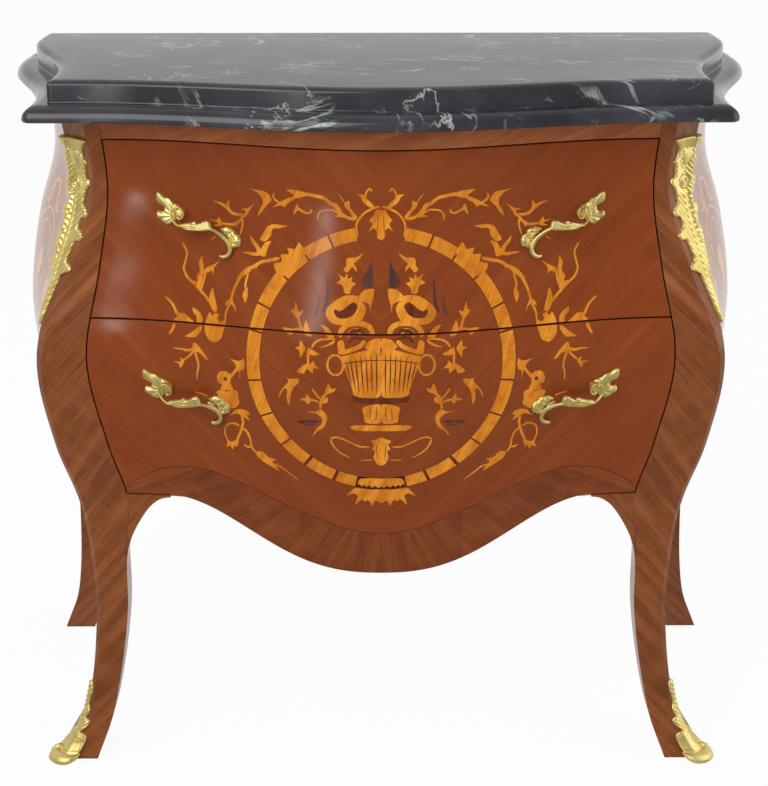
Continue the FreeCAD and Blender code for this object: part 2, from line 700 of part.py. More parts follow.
def swept(stations):
    """A bar of changing oval section; each station is (x, y, height, half height, half thickness)."""
    curve = Part.BSplineCurve()
    points = [Vector(x, y, h) for x, y, h, a, b in stations]
    curve.interpolate(points)
    rings = []
    for point, (x, y, h, a, b) in zip(points, stations):
        along = curve.tangent(curve.parameter(point))[0]
        side = Vector(0, 0, 1).cross(along).normalize()
        rise = along.cross(side)
        angles = [2 * math.pi * k / PULL_SIDES for k in range(PULL_SIDES)]
        ring = [point + side * a * math.cos(w) + rise * b * math.sin(w) for w in angles]
        rings.append(Part.makePolygon([*ring, ring[0]]))
    bar = Part.makeLoft(rings, True, True)
    return bar if bar.Volume > 0 else bar.reversed()


def blade(root, tip, width, low, high, lobes=3, bite=0.3):
    """A lobed leaf from root to tip, pointed at both, as a plate between two heights."""
    axis = Vector(tip[0] - root[0], tip[1] - root[1], 0)
    across = Vector(-axis.y, axis.x, 0).normalize()
    base = Vector(root[0], root[1], low)
    steps = lobes * 2 + 1
    right, left = [], []
    for k in range(1, steps):
        t = k / steps
        w = width * math.sin(math.pi * t**0.8) * (1 - bite * (1 - abs(math.sin(math.pi * lobes * t))))
        right.append(base + axis * t + across * w)
        left.append(base + axis * t - across * w)
    outline = [base, *right, base + axis, *reversed(left), base]
    plate = Part.Face(Part.makePolygon(outline)).extrude(Vector(0, 0, high - low))
    return plate if plate.Volume > 0 else plate.reversed()


def volute():
    """Stations of the scroll, inwards from the bar's end, clockwise over the top."""
    cx, cy = SCROLL_AT
    stations = []
    for k in range(7):
        turn = math.radians(-125 - 45 * k)
        r = SCROLL_R * (1.0 - 0.065 * k)
        size = SCROLL_SIZE * (1.0 - 0.047 * k)
        rise = SCROLL_RISE * (1.0 - 0.047 * k)
        stations.append((cx + r * math.cos(turn), cy + r * math.sin(turn), rise, size, size))
    return stations


def pull_shape():
    """A scrolled pull in its own frame: leaves, volute, bar with crests, and a hooked tail."""
    bar = [(x, y, PULL_STANDOFF + lift, high, thick) for x, y, lift, high, thick in PULL_BAR]
    shape = swept([*PULL_TAIL, *PULL_ARM, *bar, *volute()])
    pieces = [blade(*leaf, -LEAF_SINK, PULL_LEAF_T) for leaf in PULL_LEAVES]
    low, high = PULL_STANDOFF - CREST_HALF_T, PULL_STANDOFF + CREST_HALF_T
    pieces += [blade(*crest, low, high, 1) for crest in PULL_CRESTS]
    pieces.append(stud(Vector(*PULL_BOSS, 0), Vector(0, 0, 1), PULL_BOSS_R, 2 * PULL_LEAF_T))
    pieces.append(stud(Vector(*SCROLL_AT, EYE_UP), Vector(0, 0, 1), EYE_R, EYE_L, EYE_SIDES))
    for piece in pieces:
        shape = shape.fuse(piece)
    return one(shape)


def square(frame, x, y, width, low, high):
    """A square bar along a pull frame's outward axis, centred at (x, y), between two heights."""
    bar = Part.makeBox(width, width, high - low, Vector(x - width / 2, y - width / 2, low))
    bar.Placement = frame
    return bar


def pull_set(outer, inner, frame):
    """A pull that seats on the front, its two bolts, and what they need cut from the front."""
    shape = pull_shape().copy()
    shape.Placement = frame
    shape = shape.cut(outer)
    out = frame.Rotation.multVec(Vector(0, 0, 1))
    bolts, holes = [], []
    for x, y in PULL_BOLTS:
        foot = frame.multVec(Vector(x, y, 0))
        seat = SPOT_FACE - line(foot - out * 3 * FRONT_T, foot).cut(inner).Length
        shank = square(frame, x, y, BOLT_W, seat, BOLT_BITE)
        head = square(frame, x, y, BOLT_HEAD_W, seat - BOLT_HEAD_H, seat)
        bolts.append(one(shank.fuse(head)))
        holes.append(square(frame, x, y, BOLT_W + 2 * BOLT_CLEAR, seat - CUT_OVER, CUT_OVER + BOLT_BITE))
        holes.append(square(frame, x, y, BOLT_HEAD_W + 4 * BOLT_CLEAR, seat - 2 * CUT_OVER, seat))
        shape = shape.cut(shank)
    return one(shape), bolts, holes


# ---- build ----------------------------------------------------------------------------------------------
def main():
    nodes = {}
    outer = form()
    inner = hollow(FRONT_T)
    inside = hollow(SIDE_T)
    behind = hollow(FRONT_T + RAIL_BEHIND)

    nodes["marble_top"] = marble_top()
    legs = (front_leg(outer, inner), back_leg(outer))
    rail = top_side_rail(inside)
    pair = {
        "front_leg": legs[0],
        "back_leg": legs[1],
        "side_panel": side_panel(outer, inside),
        "top_side_rail": rail,
        "upper_runner": runner(SPLIT_Z - RAIL_H / 2),
        "kicker": kicker(rail),
    }
    nodes["corner_mounts"] = both_sides(corner_mount(outer))
    nodes["sabots"] = both_sides(sabot(outer))
    nodes["top_front_rail"] = top_front_rail(outer)
    nodes["top_back_rail"] = back_rail(OPENING_TOP, CASE_TOP - OPENING_TOP)
    nodes["divider_rail"] = inner_rail(behind, SPLIT_Z - RAIL_H / 2)
    nodes["dust_panel"] = dust_panel()
    nodes["bottom_front_rail"] = inner_rail(behind, CASE_FLOOR_Z)
    nodes["bottom_back_rail"] = back_rail(CASE_FLOOR_Z, RAIL_H)
    nodes["bottom_board"] = bottom_board(inside, legs)
    nodes["back_panel"] = back_panel()
    pair["lower_runner"] = lower_runner(CASE_FLOOR_Z, nodes["bottom_back_rail"])
    nodes["drawer_stops"] = drawer_stops()

    drawers = (
        ("upper", upper_outline(), SPLIT_Z + RAIL_H / 2, OPENING_TOP, UPPER_TAIL_COUNT),
        ("lower", lower_outline(), CASE_FLOOR_Z + RAIL_H, SPLIT_Z - RAIL_H / 2, LOWER_TAIL_COUNT),
    )
    pulls = {
        "upper": (UPPER_PULL_X, SPLIT_Z + UPPER_PULL_UP, UPPER_PULL_TILT),
        "lower": (LOWER_PULL_X, SPLIT_Z - LOWER_PULL_DOWN, LOWER_PULL_TILT),
    }
    for name, outline, floor, ceiling, count in drawers:
        side, back, bottom = drawer_box(inner, floor + RUN_GAP, ceiling - BOX_HEAD, count)
        front = front_shell(outer, inner, outline)
        x, z, tilt = pulls[name]
        pull, bolts, holes = pull_set(outer, inner, pull_frame(-x, z, tilt))
        for hole in holes:
            front = front.cut(hole).cut(mirrored(hole))
        nodes[f"{name}_drawer_front"] = one(front)
        nodes[f"{name}_drawer_side_right"] = side
        nodes[f"{name}_drawer_side_left"] = mirrored(side)
        nodes[f"{name}_drawer_back"] = back
        nodes[f"{name}_drawer_bottom"] = bottom
        nodes[f"{name}_pulls"] = both_sides(pull)
        nodes[f"{name}_pull_bolts"] = both_sides(*bolts)

    for name, shape in pair.items():
        nodes[f"{name}_right"] = shape
        nodes[f"{name}_left"] = mirrored(shape)

    os.makedirs("parts", exist_ok=True)
    for name, shape in nodes.items():
        solids = shape.Solids
        print(f"{name:28s} solids {len(solids)} valid {shape.isValid()} volume {shape.Volume / 1000:.1f} cm3")
        shape.exportStep(f"parts/{name}.step")


main()
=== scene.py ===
"""Bombe commode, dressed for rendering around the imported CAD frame.

The outside faces are rebuilt smooth from the same form as the solids, then veneered, inlaid and mounted:
inlay sheets lie on the drawer fronts and sides, and the gilt mounts and pulls are modelled in relief.
"""

from math import atan2, ceil, copysign, cos, exp, hypot, pi, radians, sin, sqrt

import bmesh
import bpy
import numpy as np
from mathutils import Matrix, Vector
from mathutils.geometry import delaunay_2d_cdt


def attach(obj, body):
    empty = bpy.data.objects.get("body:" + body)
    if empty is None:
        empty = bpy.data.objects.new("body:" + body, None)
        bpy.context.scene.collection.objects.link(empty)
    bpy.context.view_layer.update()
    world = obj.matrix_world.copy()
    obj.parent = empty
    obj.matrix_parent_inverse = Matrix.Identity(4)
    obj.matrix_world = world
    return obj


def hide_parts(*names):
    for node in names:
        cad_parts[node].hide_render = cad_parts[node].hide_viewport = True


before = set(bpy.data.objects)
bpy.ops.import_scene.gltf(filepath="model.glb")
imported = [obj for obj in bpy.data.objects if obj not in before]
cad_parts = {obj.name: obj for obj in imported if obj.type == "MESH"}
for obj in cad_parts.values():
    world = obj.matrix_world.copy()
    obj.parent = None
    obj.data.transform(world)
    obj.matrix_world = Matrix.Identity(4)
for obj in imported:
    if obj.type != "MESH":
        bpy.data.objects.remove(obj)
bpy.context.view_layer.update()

MM = 0.001

# ---- the form, in millimetres, as in the solids ---------------------------------------------------------
HEIGHT, DEPTH = 870.0, 510.0
BACK = DEPTH / 2
CASE_TOP = 826.0
STATION_Z = (0.0, 60.0, 190.0, 290.0, 350.0, 430.0, 545.0, 650.0, 740.0, CASE_TOP)
ROWS = {
    "corner_x": (412, 379, 361, 364, 372, 394, 406, 380, 361, 369),
    "reach": (413, 396, 385, 388, 394, 409, 427, 414, 402, 405),
    "back_x": (470, 448, 439, 443, 450, 463, 473, 459, 434, 440),
    "bow": (48, 48, 50, 53, 56, 62, 68, 71, 73, 71),
    "cant": (5, 5, 5, 5, 5, 5, 7, 20, 30, 30),
    "leg_face": (47, 36, 40, 46, 61, 64, 59, 52, 46, 48),
    "back_face": (43, 37, 36, 40, 44, 46, 46, 46, 46, 46),
}
EASE_REACH = 22
FLAT_RUN, FLARE_END = 52.0, 0.88
STILE_REAR_Y = -105.0
BACK_POST_Y = BACK - 45.0
KNEE_Z = 350
FRONT_T, SIDE_T = 22.0, 18.0
OPENING_TOP, SPLIT_Z, HEM_Z = 801.0, 594.0, 362.0
GAP = 1.5
APRON_HALF, APRON_DROP, APRON_POWER = 258.0, 88.0, 1.34
BRACKET_FOOT_Z, BRACKET_TIP = 250.0, 2.5
SIDE_HEM_Z, SIDE_DROP = 350.0, 34.0
PROBE = 3.0
SEAM, BRACKET_SEAM = 0.2, 0.3
FRONT_COLUMNS, FRONT_PITCH = 90, 4
FRONT_LEG_PITCH, BACK_LEG_PITCH, BACK_LEG_SPANS, SIDE_PITCH, SIDE_ROWS = 4.0, 6.0, 5.9, 7.0, 100
BRACKET_TURNS, BRACKET_ROWS, RAIL_COLUMNS, GRAIN_SPREAD = 26, 8, 60, 0.8


def hermite(row, z):
    """A row's value at height z, on a smooth curve through its stations."""
    zs = STATION_Z
    z = min(max(z, zs[0]), zs[-1])
    i = max(k for k in range(len(zs) - 1) if zs[k] <= z)

    def slope(k):
        lo, hi = max(k - 1, 0), min(k + 1, len(zs) - 1)
        return (row[hi] - row[lo]) / (zs[hi] - zs[lo])

    h = zs[i + 1] - zs[i]
    t = (z - zs[i]) / h
    start = (2 * t**3 - 3 * t**2 + 1) * row[i] + (t**3 - 2 * t**2 + t) * h * slope(i)
    return start + (3 * t**2 - 2 * t**3) * row[i + 1] + (t**3 - t**2) * h * slope(i + 1)


def eased(row):
    """The station curve, sampled each millimetre and eased so that reflections run over it without kinks."""
    raw = [hermite(row, z) for z in range(int(CASE_TOP) + 1)]
    low = [2 * raw[0] - raw[k] for k in range(EASE_REACH, 0, -1)]
    high = [2 * raw[-1] - raw[-1 - k] for k in range(1, EASE_REACH + 1)]
    weights = 1 + np.cos(np.linspace(-pi, pi, 2 * EASE_REACH + 1))
    return np.convolve(low + raw + high, weights / weights.sum(), "valid")


CURVES = {name: eased(row) for name, row in ROWS.items()}
GRID_Z = np.arange(int(CASE_TOP) + 1)


def at(name, z):
    """A named measure of the form at height z."""
    return float(np.interp(z, GRID_Z, CURVES[name]))


def swell(t):
    return (1 + cos(pi * min(abs(t), 1.0))) / 2


def ogee(t, lag=1.0):
    return (1 - cos(pi * min(max(t, 0.0) / FLARE_END, 1.0) ** lag)) / 2


def inner_edge(z):
    return at("corner_x", z) - at("leg_face", z)


def front_y(x, z):
    span = at("corner_x", z) - FLAT_RUN
    return BACK - at("reach", z) - at("bow", z) * swell(x / span)


def side_x(y, z):
    """x of the right side at y and height z."""
    y0 = BACK - at("reach", z) + at("cant", z)
    t = (y - y0) / (BACK - y0)
    return at("corner_x", z) + (at("back_x", z) - at("corner_x", z)) * ogee(t)


def front_point(x, z):
    return Vector((x, front_y(x, z), z))


def side_point(y, z, out=0.0):
    return Vector((side_x(y, z) + out, y, z))


def slopes(surface, across, z):
    """How fast a side or front moves along its own run, and upwards."""
    hi, lo = min(z + PROBE, CASE_TOP), max(z - PROBE, 0)
    run = (surface(across + PROBE, z) - surface(across - PROBE, z)) / (2 * PROBE)
    return run, (surface(across, hi) - surface(across, lo)) / (hi - lo)


def on_front(x, z, out=0.0):
    """A point on the front, moved outwards along the surface's normal."""
    dx, dz = slopes(front_y, x, z)
    return front_point(x, z) + Vector((dx, -1.0, dz)).normalized() * out


def on_side(y, z, out=0.0):
    """A point on the right side, moved outwards along the surface's normal."""
    dy, dz = slopes(side_x, y, z)
    return side_point(y, z) + Vector((1.0, -dy, -dz)).normalized() * out


# ---- shapes: points in millimetres, faces and texture coordinates ----------------------------------------
def flat_uv(first, second):
    """A texture map that takes two of a point's three axes, in metres."""
    return lambda p: (p[first] * MM, p[second] * MM)


def slab(outer, inner, uv):
    """A closed shell between two grids of points."""
    rows, cols = len(outer), len(outer[0])
    points = [p for row in outer for p in row] + [p for row in inner for p in row]
    half = rows * cols
    faces = []
    for i in range(rows - 1):
        for j in range(cols - 1):
            a, b, c, d = i * cols + j, i * cols + j + 1, (i + 1) * cols + j + 1, (i + 1) * cols + j
            faces.append((a, b, c, d))
            faces.append((half + d, half + c, half + b, half + a))
    rim = list(range(cols))
    rim += [i * cols + cols - 1 for i in range(1, rows)]
    rim += [(rows - 1) * cols + j for j in range(cols - 2, -1, -1)]
    rim += [i * cols for i in range(rows - 2, 0, -1)]
    faces += [(b, a, half + a, half + b) for a, b in zip(rim, rim[1:] + rim[:1])]
    return points, faces, [uv(p) for p in points]


def loft(sections, uv):
    """A closed solid through like sections, capped at both ends."""
    n = len(sections[0])
    points = [p for s in sections for p in s]
    faces = [tuple(range(n))[::-1]]
    for k in range(len(sections) - 1):
        for j in range(n):
            a, b = k * n + j, k * n + (j + 1) % n
            faces.append((a, b, b + n, a + n))
    last = (len(sections) - 1) * n
    faces.append(tuple(last + j for j in range(n)))
    return points, faces, [uv(p) for p in points]


def joined(*shapes):
    """Several shapes as separate shells of one."""
    points, faces, uvs = [], [], []
    for more in shapes:
        faces += [tuple(i + len(points) for i in f) for f in more[1]]
        points += more[0]
        uvs += more[2]
    return points, faces, uvs


def outwards(shape):
    """Turns a shape's faces round, for a map that reverses them."""
    return shape[0], [f[::-1] for f in shape[1]], shape[2]


def reflected(shape):
    """A shape's mirror image across the chest's middle."""
    points, faces, uvs = outwards(shape)
    return [Vector((-p[0], p[1], p[2])) for p in points], faces, uvs


def steps(lo, hi, pitch):
    """Even steps from lo to hi, none longer than the pitch."""
    n = max(1, ceil((hi - lo) / pitch))
    return [lo + (hi - lo) * k / n for k in range(n + 1)]


def quarter(count):
    """Angles over a right angle."""
    return [radians(90 * k / count) for k in range(count + 1)]


def linked(name, data):
    obj = bpy.data.objects.new(name, data)
    bpy.context.scene.collection.objects.link(obj)
    return obj


def make(name, shape, sharp=40.0, bevel=0.0):
    """An object from a shape; edges sharper than the angle stay crisp, and may be eased."""
    points, faces, uvs = shape
    mesh = bpy.data.meshes.new(name)
    mesh.from_pydata([(p[0] * MM, p[1] * MM, p[2] * MM) for p in points], [], faces)
    layer = mesh.uv_layers.new(name="UVMap")
    for loop in mesh.loops:
        layer.data[loop.index].uv = uvs[loop.vertex_index]
    bm = bmesh.new()
    bm.from_mesh(mesh)
    weight = bm.edges.layers.float.new("bevel_weight_edge")
    for f in bm.faces:
        f.smooth = True
    for e in bm.edges:
        shared = len(e.link_faces) == 2
        e.smooth = shared and e.calc_face_angle(0.0) <= radians(sharp)
        e[weight] = 1.0 if shared and not e.smooth else 0.0
    bm.to_mesh(mesh)
    bm.free()
    obj = linked(name, mesh)
    if bevel:
        mod = obj.modifiers.new("edge", "BEVEL")
        mod.width = bevel * MM
        mod.segments = 2
        mod.limit_method = "WEIGHT"
    return obj


# ---- materials ------------------------------------------------------------------------------------------
class Nodes:
    """Short ways to set up the nodes of a material or of the world."""

    def __init__(self, owner):
        owner.use_nodes = True
        self.owner, self.tree = owner, owner.node_tree
        self.tree.nodes.clear()

    def feed(self, socket, value):
        """Gives a socket another node's output, or a plain value."""
        if isinstance(value, bpy.types.NodeSocket):
            self.tree.links.new(value, socket)
        elif value is not None:
            socket.default_value = (*value, 1) if socket.type == "RGBA" else value

    def node(self, kind, *values, **named):
        """A new node, with its inputs given in their own order or by name."""
        n = self.tree.nodes.new(f"ShaderNode{kind}")
        for socket, value in zip(n.inputs, values):
            self.feed(socket, value)
        for key, value in named.items():
            self.feed(n.inputs[key.replace("_", " ")], value)
        return n

    def coords(self, source="UV", scale=(1, 1, 1), turn=0.0, place=(0, 0, 0), matched=False, along=0.0):
        """Texture coordinates, moved along x, turned clockwise, then stretched; matched halves mirror at zero."""
        vector = self.node("TexCoord").outputs[source]
        if matched:
            size = self.node("VectorMath")
            size.operation = "ABSOLUTE"
            self.feed(size.inputs[0], vector)
            vector = size.outputs[0]
        for values in ({"Location": (along, 0, 0)}, {"Rotation": (0, 0, radians(turn))},
                       {"Scale": scale, "Location": place}):
            vector = self.node("Mapping", vector, **values).outputs[0]
        return vector

    def noise(self, vector, scale, detail=3.0, rough=0.5, distort=0.0):
        n = self.node("TexNoise", vector, Scale=scale, Detail=detail, Roughness=rough, Distortion=distort)
        return n.outputs["Fac"]

    def ramp(self, value, *stops):
        n = self.node("ValToRGB", value)
        elements = n.color_ramp.elements
        while len(elements) < len(stops):
            elements.new(0.5)
        for element, (place, colour) in zip(elements, stops):
            element.position = place
            element.color = (*colour, 1)
        return n.outputs[0]

    def mask(self, value, low, high, top=1.0):
        """0 up to the low value, rising to the top at the high one."""
        return self.ramp(value, (low, (0, 0, 0)), (high, (top,) * 3))

    def mix(self, factor, a, b):
        n = self.node("Mix")
        n.data_type = "RGBA"
        for index, value in ((0, factor), (6, a), (7, b)):
            self.feed(n.inputs[index], value)
        return n.outputs[2]

    def math(self, op, a, b=None, clamp=False):
        n = self.node("Math", a, b)
        n.operation = op
        n.use_clamp = clamp
        return n.outputs[0]

    def times(self, a, b):
        return self.math("MULTIPLY", a, b)

    def bump(self, height, strength, distance):
        n = self.node("Bump", Height=height, Strength=strength, Distance=distance)
        self.set(Normal=n.outputs[0])

    def set(self, **values):
        for key, value in values.items():
            self.feed(self.shader.inputs[key.replace("_", " ")], value)


def material(name):
    """The nodes of a new material, with a shader and an output in place."""
    m = Nodes(bpy.data.materials.new(name))
    m.shader = m.node("BsdfPrincipled")
    m.out = m.node("OutputMaterial", m.shader.outputs[0])
    return m


def srgb(r, g, b):
    """A colour given as it looks, as the linear numbers the shaders take."""
    return tuple(((c / 255 + 0.055) / 1.055) ** 2.4 if c > 10 else c / 255 / 12.92 for c in (r, g, b))


def veneer(name, tones, turn=0.0, ribbon=0.5, matched=False, burn=None, coat=1.36):
    """Lacquered veneer: grain runs along the texture's v, turned clockwise, with figure across it and fine pores."""
    m = material(name)
    dark, middle, light = (srgb(*tone) for tone in tones)

    def streaks(across, along, *detail):
        return m.noise(m.coords(scale=(across, along, 1), turn=turn, matched=matched), 1.0, *detail)

    grain = m.math("ADD", m.times(streaks(70, 4.2, 3.0, 0.55, 0.4), 0.58), m.times(streaks(620, 22, 4.0, 0.6), 0.42))
    colour = m.ramp(grain, (0.36, dark), (0.5, middle), (0.64, light))
    colour = m.mix(m.times(m.mask(streaks(11, 5, 2.0), 0.42, 0.62), 0.3), colour, dark)
    figure = streaks(15, 46, 2.0, 0.5, 0.3)
    colour = m.mix(m.times(m.mask(figure, 0.45, 0.7), ribbon * 0.5), colour, light)
    if burn:
        spots = m.noise(m.coords(scale=(58, 58, 1)), 1.0, 3.0, 0.6)
        colour = m.mix(m.times(m.mask(spots, 0.5, 0.75), 0.5), colour, srgb(*burn))
    m.set(Base_Color=colour, Roughness=0.42, Specular_IOR_Level=0.0)
    m.set(Coat_Weight=1.0, Coat_Roughness=0.15, Coat_IOR=coat)
    m.bump(streaks(700, 18, 2.0), 0.03, 0.0004)
    return m.owner


MAT = {
    "field": veneer("veneer_field", ((122, 55, 19), (130, 60, 21), (139, 68, 26)), turn=45, ribbon=0.35, matched=True),
    "stile": veneer("veneer_stile", ((98, 50, 22), (126, 69, 34), (152, 91, 50)), turn=-42),
    # the top rail: the stile's kingwood with its grain turned nearer level, its tones lightened as painted light
    # against the shade under the marble's overhang
    "rail": veneer("veneer_rail_painted_light", ((130, 68, 34), (150, 84, 44), (172, 104, 62)), turn=70),
    "band": veneer("veneer_crossband", ((98, 46, 20), (120, 60, 26), (142, 76, 36))),
    "side": veneer("veneer_side", ((120, 66, 38), (146, 86, 52), (168, 104, 64)), turn=-45, coat=1.68),
    "inlay": veneer("inlay_light", ((180, 98, 18), (213, 129, 30), (233, 156, 50)), turn=20, ribbon=0.2,
                    burn=(150, 70, 20)),
    "inlay_dark": veneer("inlay_dark", ((66, 40, 34), (84, 50, 42), (100, 60, 50)), ribbon=0.2),
    "inlay_shade": veneer("inlay_shade", ((78, 34, 14), (98, 44, 18), (120, 58, 24)), ribbon=0.2),
    "inlay_side": veneer("inlay_side", ((190, 116, 50), (212, 138, 66), (226, 158, 84)), ribbon=0.2, coat=1.68),
}
VEINS_ALONG = 0.29


def marble_material():
    """Black marble with short pale veins that branch, break off and cluster."""
    m = material("black_marble")
    place = m.coords("Object")

    def drift(scale, turn, *detail, start=(0, 0, 0)):
        return m.noise(m.coords("Object", scale, turn, start, along=VEINS_ALONG), 1.0, *detail)

    lines = None
    for scale, turn, width, keep, share in (
        ((2.4, 5.2, 4.0), 28, 0.010, (0.50, 0.61), 0.9),
        ((5.5, 3.6, 5.0), -37, 0.010, (0.53, 0.63), 0.85),
        ((12.0, 17.0, 15.0), 15, 0.012, (0.59, 0.69), 0.7),
    ):
        edge = m.math("ABSOLUTE", m.math("SUBTRACT", drift(scale, turn, 7.0, 0.6, 1.2), 0.5))
        vein = m.ramp(edge, (0.0, (1, 1, 1)), (width * 0.5, (0.45, 0.45, 0.45)), (width, (0, 0, 0)))
        there = drift((7, 9, 9), turn, 3.0, 0.6, start=(turn, 3, 1))
        vein = m.times(vein, m.mask(there, *keep, share))
        lines = m.math("MAXIMUM", lines, vein) if lines else vein
    blots = m.mask(drift((24, 55, 40), 28, 5.0, 0.62, 0.8), 0.66, 0.74, 0.4)
    lines = m.math("MAXIMUM", lines, blots, clamp=True)
    cloud = m.ramp(m.noise(place, 9.0, 5.0, 0.6), (0.35, srgb(40, 38, 43)), (0.7, srgb(66, 64, 70)))
    m.set(Base_Color=m.mix(lines, cloud, srgb(178, 190, 187)), Roughness=0.19, IOR=1.5)
    m.bump(m.noise(place, 60.0, 3.0), 0.02, 0.0005)
    return m.owner


def brass_material():
    m = material("gilt_brass")
    place = m.coords("Object")
    mottle = m.noise(place, 60.0, 4.0, 0.6)
    grit = m.noise(place, 900.0, 3.0, 0.6)
    colour = m.ramp(mottle, (0.3, srgb(232, 206, 120)), (0.55, srgb(246, 226, 148)), (0.8, srgb(252, 240, 178)))
    m.set(Base_Color=colour, Metallic=1.0, Roughness=m.math("ADD", 0.36, m.times(mottle, 0.2)))
    m.bump(m.math("ADD", grit, m.times(mottle, 1.5)), 0.3, 0.0006)
    return m.owner


def plain_wood(name, dark, light, turn=0.0):
    """Unpolished wood, its grain along x or, turned by 90, along y."""
    m = material(name)
    grain = m.noise(m.coords("Object", (6, 90, 90), turn), 1.0, 4.0, 0.6, 0.4)
    fine = m.noise(m.coords("Object", (30, 600, 600), turn), 1.0, 3.0, 0.6)
    both = m.math("ADD", m.times(grain, 0.6), m.times(fine, 0.4))
    m.set(Base_Color=m.ramp(both, (0.35, srgb(*dark)), (0.65, srgb(*light))), Roughness=0.6)
    m.bump(fine, 0.2, 0.0005)
    return m.owner


def iron_material():
    m = material("bolt_iron")
    spots = m.noise(m.coords("Object"), 300.0, 4.0, 0.6)
    m.set(Base_Color=m.ramp(spots, (0.3, srgb(90, 88, 86)), (0.7, srgb(140, 140, 142))), Metallic=1.0, Roughness=0.45)
    m.bump(spots, 0.3, 0.0004)
    return m.owner


MAT["marble"] = marble_material()
MAT["brass"] = brass_material()
MAT["wood"] = plain_wood("secondary_wood", (166, 128, 84), (206, 172, 124))
MAT["wood_deep"] = plain_wood("secondary_wood_deep", (170, 132, 88), (204, 170, 122), turn=90)
MAT["iron"] = iron_material()


def show(name, shape, material_key, body, slot, *replaced, **edges):
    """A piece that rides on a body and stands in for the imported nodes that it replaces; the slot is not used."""
    obj = make(name, shape, **edges)
    obj.data.materials.append(MAT[material_key])
    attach(obj, body)
    if replaced:
        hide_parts(*replaced)


def show_sides(*pieces):
    """Pieces on both sides of the case, from their right-hand shapes: name, shape, material, slot, node, edges."""
    for word in ("left", "right"):
        for name, shape, material_key, slot, node, edges in pieces:
            one = reflected(shape) if word == "left" else shape
            nodes = [f"{node}_{word}"] if node else []
            show(f"{name}_{word}", one, material_key, "case", slot, *nodes, **edges)


# ---- case: fronts, legs, sides, rail --------------------------------------------------------------------
FACE_UV, SIDE_UV = flat_uv(0, 2), flat_uv(1, 2)


def apron_z(x):
    """The lower front's lower edge."""
    if abs(x) >= APRON_HALF:
        return HEM_Z
    return HEM_Z - APRON_DROP * (1 - (1 - cos(pi * (abs(x) / APRON_HALF) ** APRON_POWER)) / 2)


def front_grid(low, high, out):
    """Rows of points over a drawer front, from its lower edge, a function of x, up to high."""
    rows = []
    count = max(2, ceil((high - low(0)) / FRONT_PITCH))
    for i in range(count + 1):
        row = []
        for u in (k / FRONT_COLUMNS for k in range(-FRONT_COLUMNS, FRONT_COLUMNS + 1)):
            z0 = low(u * (inner_edge(HEM_Z) - GAP))
            z = z0 + (high - z0) * i / count
            row.append(on_front(u * (inner_edge(max(z, low(APRON_HALF))) - GAP), z, out))
        rows.append(row)
    return rows


for drawer, low, high in (
    ("upper_drawer", lambda x: SPLIT_Z + GAP / 2, OPENING_TOP - GAP),
    ("lower_drawer", apron_z, SPLIT_Z - GAP / 2),
):
    shape = slab(front_grid(low, high, 0.0), front_grid(low, high, -FRONT_T), FACE_UV)
    show(f"{drawer}_veneered_front", shape, "field", drawer, "mahogany", f"{drawer}_front", bevel=0.9)


def leg_curve(stations, above):
    """A leg's rear or fore line, y over z: an interpolating curve up to the knee, then straight."""
    zs, ys = zip(*stations)
    t = np.arange(len(zs), dtype=float)
    fine = np.linspace(0, len(zs) - 1, 200)
    curve = [np.polyval(np.polyfit(t, v, len(zs) - 1), fine) for v in (zs, ys)]
    return lambda z: above if z >= KNEE_Z else float(np.interp(z, *curve))


front_leg_rear = leg_curve(
    [(0, BACK - 413 + 46), (60, BACK - 396 + 46), (190, BACK - 385 + 38), (KNEE_Z, STILE_REAR_Y)], STILE_REAR_Y)
back_leg_fore = leg_curve([(0, BACK - 41), (190, BACK - 35), (KNEE_Z, BACK_POST_Y)], BACK_POST_Y)


def front_leg_section(z, sweep=14):
    """The outline of a front leg at one height, from its inner edge round the corner to its rear face."""
    x_in, rear = inner_edge(z), front_leg_rear(z)
    cant = max(at("cant", z), 1.0)
    x_corner = at("corner_x", z) - cant
    y_corner = BACK - at("reach", z) + cant
    points = [Vector((x_in + (x_corner - x_in) * k / sweep, 0, z)) for k in range(sweep + 1)]
    for p in points:
        p.y = front_y(p.x, z)
    points += [side_point(y_corner + (rear - y_corner) * k / sweep, z) for k in range(sweep + 1)]
    return points + [Vector((x_in, rear, z))]


def back_leg_section(z):
    fore, x_in = back_leg_fore(z), at("back_x", z) - at("back_face", z)
    outer = [side_point(y, z) for y in steps(fore, BACK, (BACK - fore) / BACK_LEG_SPANS)]
    return outer + [Vector((x_in, BACK, z)), Vector((x_in, fore, z))]


def bracket_arch(x):
    """The lower edge of the bracket between the leg and the apron."""
    foot = inner_edge(BRACKET_FOOT_Z)
    top = HEM_Z - GAP - BRACKET_TIP
    t = min(max((x - APRON_HALF) / (foot - APRON_HALF), 0.0), 1.0)
    return BRACKET_FOOT_Z + (top - BRACKET_FOOT_Z) * sqrt(max(0.0, 1 - t * t))


def bracket_shape():
    high = HEM_Z - GAP
    reach = inner_edge(BRACKET_FOOT_Z) - APRON_HALF
    grids = ([], [])
    for i in range(BRACKET_ROWS + 1):
        places = []
        for a in quarter(BRACKET_TURNS):
            x_arch = APRON_HALF + reach * sin(a)
            z_arch = bracket_arch(x_arch)
            z = z_arch + (high - z_arch) * i / BRACKET_ROWS
            share = (x_arch - APRON_HALF) / reach
            places.append((APRON_HALF + share * (inner_edge(z) - BRACKET_SEAM - APRON_HALF), z))
        for grid, out in zip(grids, (0.0, -FRONT_T)):
            grid.append([on_front(x, z, out) for x, z in places])
    return slab(*grids, FACE_UV)


def leg_uv(p):
    return (p[0] * MM + p[1] * MM * GRAIN_SPREAD, p[2] * MM)


def side_hem(y):
    t = (y - STILE_REAR_Y) / (BACK_POST_Y - STILE_REAR_Y)
    return SIDE_HEM_Z - SIDE_DROP * swell(2 * t - 1)


